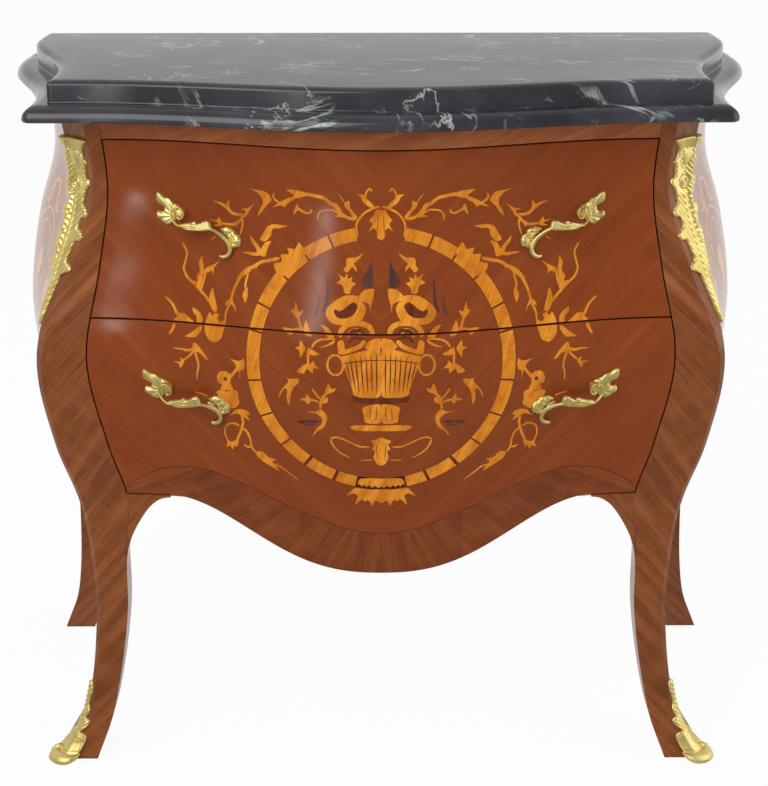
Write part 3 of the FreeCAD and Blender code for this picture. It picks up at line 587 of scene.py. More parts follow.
def side_panel():
    grids = []
    for out in (0.0, -SIDE_T):
        rows = []
        for i in range(SIDE_ROWS + 1):
            ys = steps(STILE_REAR_Y + SEAM, BACK_POST_Y - SEAM, SIDE_PITCH)
            rows.append([side_point(y, side_hem(y) + (CASE_TOP - side_hem(y)) * i / SIDE_ROWS, out) for y in ys])
        grids.append(rows)
    return slab(*grids, SIDE_UV)


front_leg = joined(loft([front_leg_section(z) for z in steps(0.0, CASE_TOP, FRONT_LEG_PITCH)], leg_uv), bracket_shape())
back_leg = loft([back_leg_section(z) for z in steps(0.0, CASE_TOP, BACK_LEG_PITCH)], leg_uv)
show_sides(
    ("front_leg_veneered", front_leg, "stile", "kingwood", "front_leg", {"sharp": 32, "bevel": 0.8}),
    ("back_leg_veneered", back_leg, "stile", "kingwood", "back_leg", {"sharp": 32, "bevel": 0.8}),
    ("side_panel_veneered", side_panel(), "side", "mahogany", "side_panel", {"bevel": 0.6}),
)


def rail_section(u):
    """The top rail's outline at one place along it, u from -1 to 1."""
    x_top, x_low = (u * (inner_edge(z) - SEAM) for z in (CASE_TOP, OPENING_TOP))
    mid = front_point((x_top + x_low) / 2, (CASE_TOP + OPENING_TOP) / 2)
    rear = [Vector((x_top, STILE_REAR_Y, CASE_TOP)), Vector((x_low, STILE_REAR_Y, OPENING_TOP))]
    return [front_point(x_low, OPENING_TOP), mid, front_point(x_top, CASE_TOP), *rear]


sections = [rail_section(k / RAIL_COLUMNS) for k in range(-RAIL_COLUMNS, RAIL_COLUMNS + 1)]
# the rail's veneer is lighter than the stiles': painted light against the marble's shade
show("top_front_rail_veneered", loft(sections, FACE_UV), "rail", "case", "kingwood", "top_front_rail", bevel=0.6)

# ---- marble ---------------------------------------------------------------------------------------------
MARBLE_X, MARBLE_REACH, MARBLE_BACK_X, MARBLE_CANT, MARBLE_LAG = 399.0, 450.0, 477.0, 6.0, 1.4
LIP_H, LIP_ROUND, LIP_UNDER, STEP_IN, OVOLO_IN, OVOLO_H = 18.5, 17.0, 3.5, 26.0, 10.0, 6.0
MARBLE_FRONT_SPANS, MARBLE_SIDE_SPANS = 80, 40


def marble_section(z, inset):
    """The marble's outline at one height, moved in from its lip."""
    corner_x, y1 = MARBLE_X - inset, BACK - MARBLE_REACH + inset
    cant = max(MARBLE_CANT - (2 - sqrt(2)) * inset, 1.0)
    front = []
    for k in range(-MARBLE_FRONT_SPANS, MARBLE_FRONT_SPANS + 1):
        x = (corner_x - cant) * k / MARBLE_FRONT_SPANS
        front.append(Vector((x, y1 - (DEPTH - MARBLE_REACH) * swell(x / (MARBLE_X - FLAT_RUN)), z)))
    y0 = y1 + cant
    right = []
    for t in (k / MARBLE_SIDE_SPANS for k in range(MARBLE_SIDE_SPANS + 1)):
        right.append(Vector((corner_x + (MARBLE_BACK_X - MARBLE_X) * ogee(t, MARBLE_LAG), y0 + (BACK - y0) * t, z)))
    return front + right + [Vector((-p.x, p.y, z)) for p in reversed(right)]


def marble_top():
    """Two tiers, each a row of heights and insets: a rounded lip, a ledge with loops that hold it flat, an ovolo."""
    waist, ledge, ovolo = CASE_TOP + LIP_UNDER, CASE_TOP + LIP_H, HEIGHT - OVOLO_H
    rows = [(waist - LIP_UNDER * cos(a), LIP_UNDER * (1 - sin(a))) for a in quarter(4)]
    rows += [(waist + (ledge - waist) * sin(a), LIP_ROUND * (1 - cos(a))) for a in quarter(10)[1:]]
    rows += [(ledge, LIP_ROUND + 2), (ledge, STEP_IN - 3), (ledge, STEP_IN - 1), (ledge + 1, STEP_IN),
             (ledge + 2.5, STEP_IN), (ovolo - 1.5, STEP_IN)]
    rows += [(ovolo + OVOLO_H * sin(a), STEP_IN + OVOLO_IN * (1 - cos(a))) for a in quarter(8)]
    return loft([marble_section(*row) for row in rows], flat_uv(0, 1))


show("marble_top_polished", marble_top(), "marble", "case", "marble", "marble_top", sharp=46, bevel=0.5)

# ---- outlines and what is raised on them ------------------------------------------------------------------
def rounded(points, closed=True, share=4, ease=0.8):
    """A smooth line through points in the plane."""
    pts = [Vector(p) for p in points]
    n = len(pts)
    line = []
    for i in range(n if closed else n - 1):
        near = [pts[(i + k) % n] if closed else pts[min(max(i + k, 0), n - 1)] for k in (-1, 0, 1, 2)]
        m0, m1 = (near[2] - near[0]) * ease / 2, (near[3] - near[1]) * ease / 2
        for k in range(share):
            t = k / share
            start = near[1] * (2 * t**3 - 3 * t**2 + 1) + m0 * (t**3 - 2 * t**2 + t)
            line.append(start + near[2] * (3 * t**2 - 2 * t**3) + m1 * (t**3 - t**2))
    return line if closed else line + pts[-1:]


def smooth_line(points, share=4):
    return rounded(points, closed=False, share=share, ease=1.0)


def leaf(points, share=4):
    return rounded(points, share=share, ease=0.75)


def stem(points, start, end, share=5):
    """The outline of a stroke that changes width from start to end."""
    middle = smooth_line(points, share)
    n = len(middle) - 1
    left, right = [], []
    for k, p in enumerate(middle):
        along = middle[min(k + 1, n)] - middle[max(k - 1, 0)]
        across = Vector((-along.y, along.x)).normalized()
        half = (start + (end - start) * k / n) / 2
        half *= min(1.0, 0.35 + 1.6 * min(k, n - k) / share)
        left.append(p + across * half)
        right.append(p - across * half)
    return left + right[::-1]


def mirrored(loop):
    return [Vector((-p.x, p.y)) for p in reversed(loop)]


def disc(x, y, radius, tall=1.0, count=20):
    turns = [2 * pi * k / count for k in range(count)]
    return [Vector((x + radius * cos(a), y + radius * tall * sin(a))) for a in turns]


def clipped(loop, level, above):
    """The part of an outline over or under a level line."""
    kept = []
    for a, b in zip(loop, loop[1:] + loop[:1]):
        inside = [(p.y > level) == above for p in (a, b)]
        if inside[0]:
            kept.append(a)
        if inside[0] != inside[1]:
            kept.append(a.lerp(b, (level - a.y) / (b.y - a.y)))
    return kept


def depth_in(grid, a, b):
    """How far each point of a grid is from the nearest of the segments a to b."""
    best = np.full(len(grid), 1e9)
    block = 4000
    for start in range(0, len(grid), block):
        part = grid[start:start + block]
        ab = b - a
        t = ((part[:, None, :] - a) * ab).sum(axis=2) / np.maximum((ab * ab).sum(axis=1), 1e-9)
        near = a + np.clip(t, 0, 1)[:, :, None] * ab
        best[start:start + block] = np.sqrt(((part[:, None, :] - near) ** 2).sum(axis=2)).min(axis=1)
    return best


def clear_inside(grid, loop, margin):
    """Which points of an (n, 2) grid lie inside a loop, and no nearer to it than the margin."""
    a = np.array([tuple(p) for p in loop])
    b = np.roll(a, -1, axis=0)
    x, y = grid[:, 0, None], grid[:, 1, None]
    rise = np.where(b[:, 1] == a[:, 1], 1e-9, b[:, 1] - a[:, 1])
    crossing = ((a[:, 1] > y) != (b[:, 1] > y)) & (x < a[:, 0] + (y - a[:, 1]) * (b[:, 0] - a[:, 0]) / rise)
    return (crossing.sum(axis=1) % 2 == 1) & (depth_in(grid, a, b) > margin)


def divided(loop, pitch):
    """A closed outline with more points, none further apart than the pitch."""
    line = []
    for a, b in zip(loop, loop[1:] + loop[:1]):
        n = max(1, ceil((b - a).length / pitch))
        line += [a.lerp(b, k / n) for k in range(n)]
    return line


def raised(loop, place, high, low, pitch):
    """A closed shell over an outline in the plane, from low up to high(u, v, depth), carried to place(u, v, height)."""
    loop = divided(loop, pitch)
    verts = list(loop)
    box = [f(c) for c in zip(*[tuple(p) for p in loop]) for f in (min, max)]
    us, vs = np.arange(box[0], box[1], pitch), np.arange(box[2], box[3], pitch * 0.866)
    if len(us) and len(vs):
        gu, gv = np.meshgrid(us, vs)
        gu[1::2] += pitch / 2
        grid = np.stack([gu.ravel(), gv.ravel()], axis=1)
        verts += [Vector(p) for p in grid[clear_inside(grid, loop, pitch * 0.5)]]
    flat, _, tris, *_ = delaunay_2d_cdt(verts, [], [list(range(len(loop)))], 1, 1e-4)
    points = np.array([tuple(p) for p in flat])
    sides = {}
    turned = []
    for t in tris:
        for k in range(1, len(t) - 1):
            a, b, c = points[t[0]], points[t[k]], points[t[k + 1]]
            area = (b[0] - a[0]) * (c[1] - a[1]) - (b[1] - a[1]) * (c[0] - a[0])
            if abs(area) > 1e-7:
                turned.append((t[0], t[k], t[k + 1]) if area > 0 else (t[0], t[k + 1], t[k]))
    for t in turned:
        for a, b in zip(t, t[1:] + t[:1]):
            sides[(a, b)] = sides.get((a, b), 0) + 1
    rim = [e for e in sides if (e[1], e[0]) not in sides]
    depth = np.zeros(len(points))
    if callable(high):
        depth = depth_in(points, points[[e[0] for e in rim]], points[[e[1] for e in rim]])
    n = len(points)
    top = [place(u, v, high(u, v, d) if callable(high) else high) for (u, v), d in zip(points, depth)]
    bottom = [place(u, v, low(u, v) if callable(low) else low) for u, v in points]
    shell = turned + [(a + n, c + n, b + n) for a, b, c in turned] + [(b, a, a + n, b + n) for a, b in rim]
    return top + bottom, shell, [(u * MM, v * MM) for u, v in points] * 2


def bar(stations, place, sides, square):
    """A closed bar through stations (u, v, height, half width, half height), smooth between them."""
    line = smooth_line(stations)
    sections = []
    n = len(line) - 1
    for k, p in enumerate(line):
        along = line[min(k + 1, n)] - line[max(k - 1, 0)]
        across = Vector((-along[1], along[0])).normalized()
        ring = []
        for w in (2 * pi * j / sides for j in range(sides)):
            c, d = (copysign(abs(v) ** square, v) for v in (cos(w), sin(w)))
            ring.append(place(p[0] + across.x * p[3] * c, p[1] + across.y * p[3] * c, p[2] + p[4] * d))
        sections.append(ring)
    return loft(sections, FACE_UV)


def ease_in(depth, run):
    """How far a rounded edge has risen, from 0 at the outline to 1 past the run."""
    t = min(depth / run, 1.0)
    return sqrt(1 - (1 - t) ** 2)


def wave(x, pitch):
    """Runs between 1 and -1, with a crest at each pitch."""
    return cos(2 * pi * x / pitch)


def hill(x, width):
    """1 in the middle, fading out over about the width to both sides."""
    return exp(-((x / width) ** 2))


def rolled(x):
    """A smooth rise from 0 to 1 as x goes from 0 to 1."""
    t = min(max(x, 0), 1)
    return t * t * (3 - 2 * t)


# ---- pulls ----------------------------------------------------------------------------------------------
PULLS = {"upper": (207.0, 705.0, 0.0), "lower": (226.0, 504.0, 5.0)}
BAR_UP, BAR_THICK = 17.5, 3.2
CAST_SUNK = -1.2
PULL_LEAF = (
    (-50.6, 37), (-53.6, 33), (-53.6, 27.4), (-51.5, 23.4), (-47, 21), (-43.8, 19.2), (-44, 15), (-47.6, 13.4),
    (-50.6, 14.8), (-53.6, 12), (-53, 6.4), (-48, 3.4), (-45, 0.6), (-40.4, -1.6), (-36, -0.6), (-30.5, 2.4),
    (-26, 8), (-22, 14), (-23.5, 20.5), (-28, 23), (-32.6, 25.6), (-36.4, 29.2), (-41.8, 31), (-46, 34.6),
)
PULL_BAR = (
    (-21, 0.4), (-15, 1.6), (-10.8, 2.4), (-3.1, 4.2), (0.7, 6), (2.7, 3.9), (4.8, 3.2), (9.1, 5),
    (12.9, 7.2), (17.4, 7.4), (19.3, 5), (20.6, 0), (21, -2.6), (17.2, -4.3), (5.7, -5.6), (-5.8, -6.1),
    (-13.6, -4.8), (-19.5, -1.8),
)
PULL_SCROLL = (
    (-15, -1.4, 17, 1.5, 1.6), (-21.4, -0.9, 15.6, 1.2, 1.9), (-26, 2.2, 14, 1.1, 2.2),
    (-29.6, 6.4, 12.6, 1.1, 2.3), (-31.6, 11.8, 11.4, 1.1, 2.3), (-29.8, 17.6, 10.6, 1.1, 2.3),
    (-24.4, 20.4, 10, 1.1, 2.3), (-18.6, 17.8, 9.4, 1.1, 2.3), (-16.6, 12.4, 8.8, 1.1, 2.3),
    (-18.6, 7.6, 8.2, 1.1, 2.3), (-22.6, 6.0, 7.6, 1.2, 2.2), (-25.4, 8.2, 7, 1.3, 2.2),
)
PULL_STEM = (
    (16, -1.4, 17.6, 2.6, 1.6), (21, -2.2, 16.6, 1.8, 1.8), (26.6, -5.6, 13, 2.1, 2),
    (32.2, -10.4, 9.6, 2.4, 2.2), (36.4, -15.4, 7.4, 2.5, 2.3), (38.9, -21.6, 6, 2.5, 2.3),
    (38.4, -27.6, 5, 2.4, 2.2), (34.6, -32, 4.4, 2.4, 2.2), (29.6, -33.6, 4, 2.3, 2.2),
    (26.2, -32.6, 4, 1.5, 1.6),
)
PULL_SHELL = (
    (24.6, -2.6), (29.1, 0.2), (33.6, 1.3), (39, 0.2), (42.8, -2.3), (44.4, -5.2), (48.2, -7.6), (50.8, -11.9),
    (50.6, -17.6), (49, -20.8), (45.3, -21.6), (42.6, -23.4), (39.4, -24), (36.7, -17.6), (34.1, -11), (29.3, -6),
)
PULL_SPUR = (
    (22, -7), (23.6, -9.6), (23.4, -11.4), (25.6, -12), (26, -14), (28.4, -13.8), (31.4, -15.6), (33, -12), (27, -6.4),
)
SHELL_PITS = ((38.2, -6.2, 1.5), (40.6, -9.6, 1.6), (39.2, -13.2, 1.7), (43.4, -13.6, 1.2), (41.8, -17.2, 1.2))


def pull_place(x0, z0, tilt, side):
    """Carries a pull's own (along, up, height) on to a drawer front, following its curve."""
    turn = radians(tilt)
    slope = (front_y(-x0 + 4, z0) - front_y(-x0 - 4, z0)) / 8
    lean = (front_y(-x0, z0 + 4) - front_y(-x0, z0 - 4)) / 8
    wide, tall = 1 / hypot(1, slope), 1 / hypot(1, lean)

    def place(u, v, h):
        along, up = u * cos(turn) - v * sin(turn), u * sin(turn) + v * cos(turn)
        p = on_front(-x0 + along * wide, z0 + up * tall, h)
        return Vector((p.x * -side, p.y, p.z))

    return place


def fluted(cx, cy, count, rise, crown, run):
    """The height of a cast leaf: a rounded edge, a crown and flutes that spread from (cx, cy)."""

    def high(u, v, depth):
        reach = hypot(u - cx, v - cy)
        flute = 0.45 * cos(count * atan2(v - cy, u - cx)) * min(reach / 6, 1) * min(depth / 1.5, 1)
        return rise + crown * ease_in(depth, run) + flute

    return high


def shell_height(u, v, depth):
    pits = sum(2.6 * hill(hypot(u - x, v - y), radius) for x, y, radius in SHELL_PITS)
    return fluted(33, -14, 11, 1.6, 3.6, 6)(u, v, depth) - pits


def bar_drop(u):
    """How far the bar falls towards its scrolled end."""
    return 0.09 * max(-u - 2, 0)


def bar_height(u, v, depth):
    groove = 0.3 * wave(v + 0.02 * u * u / 4, 2.1) * min(depth / 1.2, 1)
    return BAR_UP + 1.6 * ease_in(depth, 2.6) + groove - bar_drop(u)


def pull_shape(place):
    def cast(points, share, high, pitch, low=CAST_SUNK):
        return raised(leaf(points, share), place, high, low, pitch)

    return joined(
        cast(PULL_LEAF, 3, fluted(-30, 9, 14, 1.2, 3.0, 6), 0.95),
        cast(PULL_BAR, 3, bar_height, 0.95, lambda u, v: BAR_UP - BAR_THICK - bar_drop(u)),
        cast(PULL_SHELL, 3, shell_height, 0.9),
        cast(PULL_SPUR, 2, fluted(33, -8, 10, 1.0, 2.2, 3), 0.9),
        bar(PULL_SCROLL, place, 12, 0.7),
        bar(PULL_STEM, place, 14, 0.9),
        raised(disc(-24, 13, 6.6), place, lambda u, v, d: 4 + 3.6 * ease_in(d, 5), CAST_SUNK, 0.9),
    )


for name, spot in PULLS.items():
    right, left = (pull_shape(pull_place(*spot, side)) for side in (-1, 1))
    shape = joined(outwards(right), left)
    show(f"{name}_pulls_cast", shape, "brass", f"{name}_drawer", "gilt_brass", f"{name}_pulls", sharp=60)

# ---- corner mounts and sabots ---------------------------------------------------------------------------
def on_corner(s, z, out):
    """A point over the right front corner: s across it from its middle, towards the front, and out from it."""
    cant = max(at("cant", z), 1.0)
    half = cant / sqrt(2)
    x_corner, y_front = at("corner_x", z), BACK - at("reach", z)
    if s > half:
        base = front_point(x_corner - cant - (s - half), z)
    elif s < -half:
        base = side_point(y_front + cant - half - s, z)
    else:
        base = Vector((x_corner - cant / 2 - s / sqrt(2), y_front + cant / 2 - s / sqrt(2), z))
    ease = min(6.0, half)
    share = (1 + sin(radians(90) * min(max((abs(s) - half) / ease, -1), 1))) / 2
    turn = radians(45 - copysign(45 * share, s))
    return base + Vector((sin(turn), -cos(turn), 0)) * out


MOUNT_EDGE = (
    (20.5, 799.5), (20, 796), (13.5, 791), (9.6, 786), (10, 780), (12.6, 775), (15.2, 771.5), (11.4, 768), (10.4, 760),
    (10, 754), (16.2, 752.5), (17, 746), (11.4, 741), (8.4, 734), (7, 723), (12, 721), (17.4, 714), (16.8, 709.5),
    (8.6, 707.5), (6.6, 700), (7, 695.6), (14, 693.5), (20.2, 688), (17.4, 682.8), (8.4, 681.5), (5.4, 670),
    (3.2, 660), (4.6, 656.8), (12.6, 653.6), (14, 648.6), (7, 645), (0.4, 641), (-2.6, 626), (-4.4, 612), (-5.6, 598),
)
MOUNT_AXIS, MOUNT_TIP = ((800, -4.0), (700, -6.0), (640, -9.5), (610, -10.5), (586, -9.5)), (-9.5, 584.0)
ROSETTE_Z, CABOCHON_Z = 747.5, 777.0
LEAF_TOP, FLARE_Z = 735.0, 786


def mount_axis(z):
    zs, ss = zip(*reversed(MOUNT_AXIS))
    return float(np.interp(z, zs, ss))


def mount_height(s, z, depth):
    """Relief from the top down: a flared crown, a cabochon in its rim, a rosette, then a ribbed and veined leaf."""
    ds = s - mount_axis(z)
    edge = min(depth / 1.2, 1)
    h = 1.3 + 1.9 * ease_in(depth, 3.2)
    h += 3.4 * rolled((-3 - ds) / 8) * min(depth / 2, 1)
    if z > FLARE_Z:
        flare = (z - FLARE_Z) / 13.5
        return h + 2.4 * flare**1.6 + 0.4 * wave(ds, 5) * min(depth, 1)
    dome = (ds / 8.5) ** 2 + ((z - CABOCHON_Z) / 11.5) ** 2
    if dome < 1:
        return h + 3.2 * sqrt(1 - dome) - 0.5
    if dome < 1.6:
        h += 0.7 * sin(pi * (dome - 1) / 0.6)
    ring = hypot(ds, z - ROSETTE_Z)
    if ring < 8.5:
        return h + 1.0 + 0.9 * wave(ring, 4.4)
    if z < LEAF_TOP:
        vein = 0.55 * wave(z - 1.1 * abs(ds), 7.6) * min(abs(ds) / 3, 1)
        bead = 0.8 * wave(z, 5.6) * hill(ds + 8, 2.2)
        return h + 1.5 * hill(ds, 2.0) + (vein + bead) * edge
    return h + 0.5 * wave(z + abs(ds), 6) * edge


def mount_loop():
    """The leaf's outline: the front edge as drawn, and its reflection across the leaf's axis."""
    far = [(2 * mount_axis(z) - s, z) for s, z in MOUNT_EDGE]
    return rounded([*MOUNT_EDGE, MOUNT_TIP, *reversed(far)], share=3, ease=0.6)


SABOT_EDGE = (
    (0.6, 92), (1.4, 84), (-0.8, 77), (-0.8, 70), (0.4, 66), (3, 62), (3.2, 58), (0.6, 51), (4.4, 50), (8.6, 47.5),
    (9, 43), (5, 37), (2.2, 33.5), (6.5, 32.4), (13.4, 29), (16.8, 22), (17.6, 14), (16.6, 6), (13, 1.4),
)
SABOT_AXIS, SABOT_TIPS, TOE_OUT = -6.0, ((-8, 97.5), (-3, 98.5)), 10.0
TOE_TOP, COLLAR_LOW, COLLAR_TOP = 22, 12, 33


def sabot_height(s, z, depth):
    """Relief from the floor up: a toe that juts out, a diapered collar, then a ribbed and veined leaf."""
    ds = s - SABOT_AXIS
    h = 1.0 + 1.8 * ease_in(depth, 3.4) + TOE_OUT * (max(TOE_TOP - z, 0) / TOE_TOP) ** 1.5 * min(depth / 1.5, 1)
    h += rolled((-7 - s) / 8) * min(depth / 2, 1)
    if COLLAR_LOW < z < COLLAR_TOP:
        return h + 0.8 + (0.6 * wave(s + z, 4.4) * wave(s - z, 4.4) - 0.8 * hill(depth - 2.6, 0.7)) * min(depth / 2, 1)
    if z >= COLLAR_TOP:
        return h + 1.4 * hill(ds, 1.9) + 0.5 * wave(z - 1.2 * abs(ds), 6.4) * min(depth / 1.2, 1)
    return h


def sabot_loop():
    far = [(2 * SABOT_AXIS - s * 0.9, z) for s, z in SABOT_EDGE]
    return rounded([*SABOT_EDGE, *reversed(far), *SABOT_TIPS], share=3, ease=0.6)


# stations along the toe: s, z, radius, and out from the corner
TOE = (
    (-15.6, 7.4, 1.2, 9.4), (-15.0, 7.2, 3.6, 10.4), (-13.0, 7.0, 5.6, 11.4), (-10.4, 7.0, 6.2, 12.2),
    (-8.4, 6.6, 5.2, 12.8), (-6.6, 6.0, 3.6, 13.2), (-4.6, 6.2, 5.2, 14.0), (0, 6.2, 6.0, 14.8),
    (6, 6.2, 5.8, 14.8), (11, 6.6, 5.2, 13.8), (15.5, 7.8, 3.8, 12), (17.8, 9.4, 2.0, 9.8),
)


def toe_roll():
    """The rolled toe under the shoe: a fluted roll across the corner."""
    sections = []
    for s, z, radius, out in smooth_line(TOE):
        ring = []
        for w in (2 * pi * j / 28 for j in range(28)):
            r = radius + 0.22 * cos(9 * w) * min(1, radius / 4)
            ring.append(on_corner(s, max(z + r * sin(w), 0.3), out + r * cos(w)))
        sections.append(ring)
    return loft(sections, FACE_UV)


mount = outwards(raised(mount_loop(), on_corner, mount_height, CAST_SUNK, 1.15))
sabot = joined(outwards(raised(sabot_loop(), on_corner, sabot_height, CAST_SUNK, 1.1)), toe_roll())
for name, shape in (("corner_mounts", mount), ("sabots", sabot)):
    show(f"{name}_cast", joined(shape, reflected(shape)), "brass", "case", "gilt_brass", name, sharp=60)

# ---- marquetry ------------------------------------------------------------------------------------------
# The left half in millimetres, each point its distance left of the middle and its height; the right half is its
# reflection. A blade is a closed outline. A stroke is a line, after its widths at both ends.
def left_half(values):
    return [Vector((-x, z)) for x, z in zip(values[::2], values[1::2])]


def blade(*values, share=4):
    return leaf(left_half(values), share)


def stroke(start, end, *values):
    return stem(left_half(values), start, end)


def whole(*values):
    """An outline that crosses the middle, from its left half."""
    half = left_half(values)
    return half + [p for p in mirrored(half) if p.x > 0]


SPRAYS = [
    # outer spray
    blade(191,734, 182,733, 176,731, 172,736, 172,729, 169,724, 162,722, 155,722, 160,719, 169,720, 176,726, 182,730),
    blade(143,734, 148,727, 153,719, 156,719, 153,725, 158,727, 150,729),
    stroke(3, 3, 156,720, 160,714, 168,709, 176,709, 184,709),
    blade(196,713, 187,712, 185,716, 181,711, 176,709, 184,706, 191,706, 185,709),
    stroke(3, 1.4, 157,717, 157,709, 160,698),
    stroke(2.2, 1.4, 160,714, 166,706),
    stroke(1.8, 1, 188,694, 195,690),
    # tulip leaves
    blade(105,712, 114,709, 122,708, 124,700, 131,693, 137,695, 133,702, 128,710, 121,713, 115,713),
    blade(148,698, 143,693, 137,686, 136,684, 131,692, 124,694, 128,686, 131,676, 137,677, 143,676, 150,677, 158,679,
        150,680, 141,680, 142,685, 147,692),
    # vine
    stroke(4, 2.2, 114,676, 124,673, 135,670, 143,665, 151,660, 158,654, 162,648, 167,639, 170,631, 172,623, 175,616,
        178,609, 179,600),
    blade(141,667, 149,664, 156,660, 161,654, 165,648, 157,652, 150,657, 146,662),
    stroke(2.4, 1, 138,669, 143,661),
    stroke(2.4, 2, 151,656, 154,646, 155,638),
    blade(152,640, 156,636, 158,630, 155,622, 152,631),
    blade(171,626, 176,623, 179,617, 173,619, 169,617, 166,611, 167,617, 169,622),
    # plant
    stroke(2, 3.4, 228,684, 223,674, 225,664, 227,656, 224,647, 219,642, 213,637, 207,631, 201,625, 197,619),
    blade(205,671, 209,663, 208,654, 212,648, 211,642, 216,642, 211,635, 207,631, 204,639, 205,647, 203,655, 204,663),
    stroke(3.2, 2, 206,636, 203,646, 201,655, 196,659, 190,661),
    blade(184,667, 192,662, 198,659, 201,652, 194,655, 192,651, 191,659),
    blade(193,636, 197,628, 197,617, 192,609, 188,611, 189,618, 191,626),
    # split left
    stroke(2, 4, 250,622, 243,616, 239,610, 236,604, 230,601),
    blade(236,604, 227,604, 222,600, 216,595, 225,595, 234,594, 240,596, 236,600),
    stroke(4.5, 2, 239,592, 242,585, 246,579),
    blade(217,612, 210,608, 206,602, 206,596, 212,594, 213,602, 217,607),
    blade(207,592, 211,590, 217,585, 221,582, 227,578, 215,578, 210,583, 207,588),
    blade(197,608, 201,601, 203,593, 203,585, 199,577, 193,574, 185,578, 182,586, 179,595, 179,601, 185,598, 188,602,
        186,606, 191,608, 194,604),
    # lower plant
    blade(217,572, 219,564, 216,561, 210,560, 204,554, 200,553, 206,562, 212,569),
    stroke(4, 1.5, 217,564, 225,562, 232,563, 242,563),
    stroke(2.6, 2.6, 217,562, 222,556, 229,550),
    blade(229,550, 234,553, 233,548, 242,547, 236,545, 234,539, 229,547),
    stroke(3.2, 1.5, 216,561, 213,552, 212,543, 214,535, 214,526),
    # vase
    blade(174,556, 167,555, 162,555, 158,558, 157,552, 158,545, 162,543, 163,531, 164,542, 167,541, 173,533, 175,536,
        167,547, 170,553),
    blade(192,513, 187,516, 179,515, 171,518, 166,515, 166,508, 165,501, 170,495, 177,493, 182,501, 188,506),
    stroke(2, 1.6, 218,510, 210,509, 203,506),
    blade(171,491, 174,487, 178,483, 168,487, 161,483, 154,479, 157,486, 153,487, 157,492, 165,493),
]
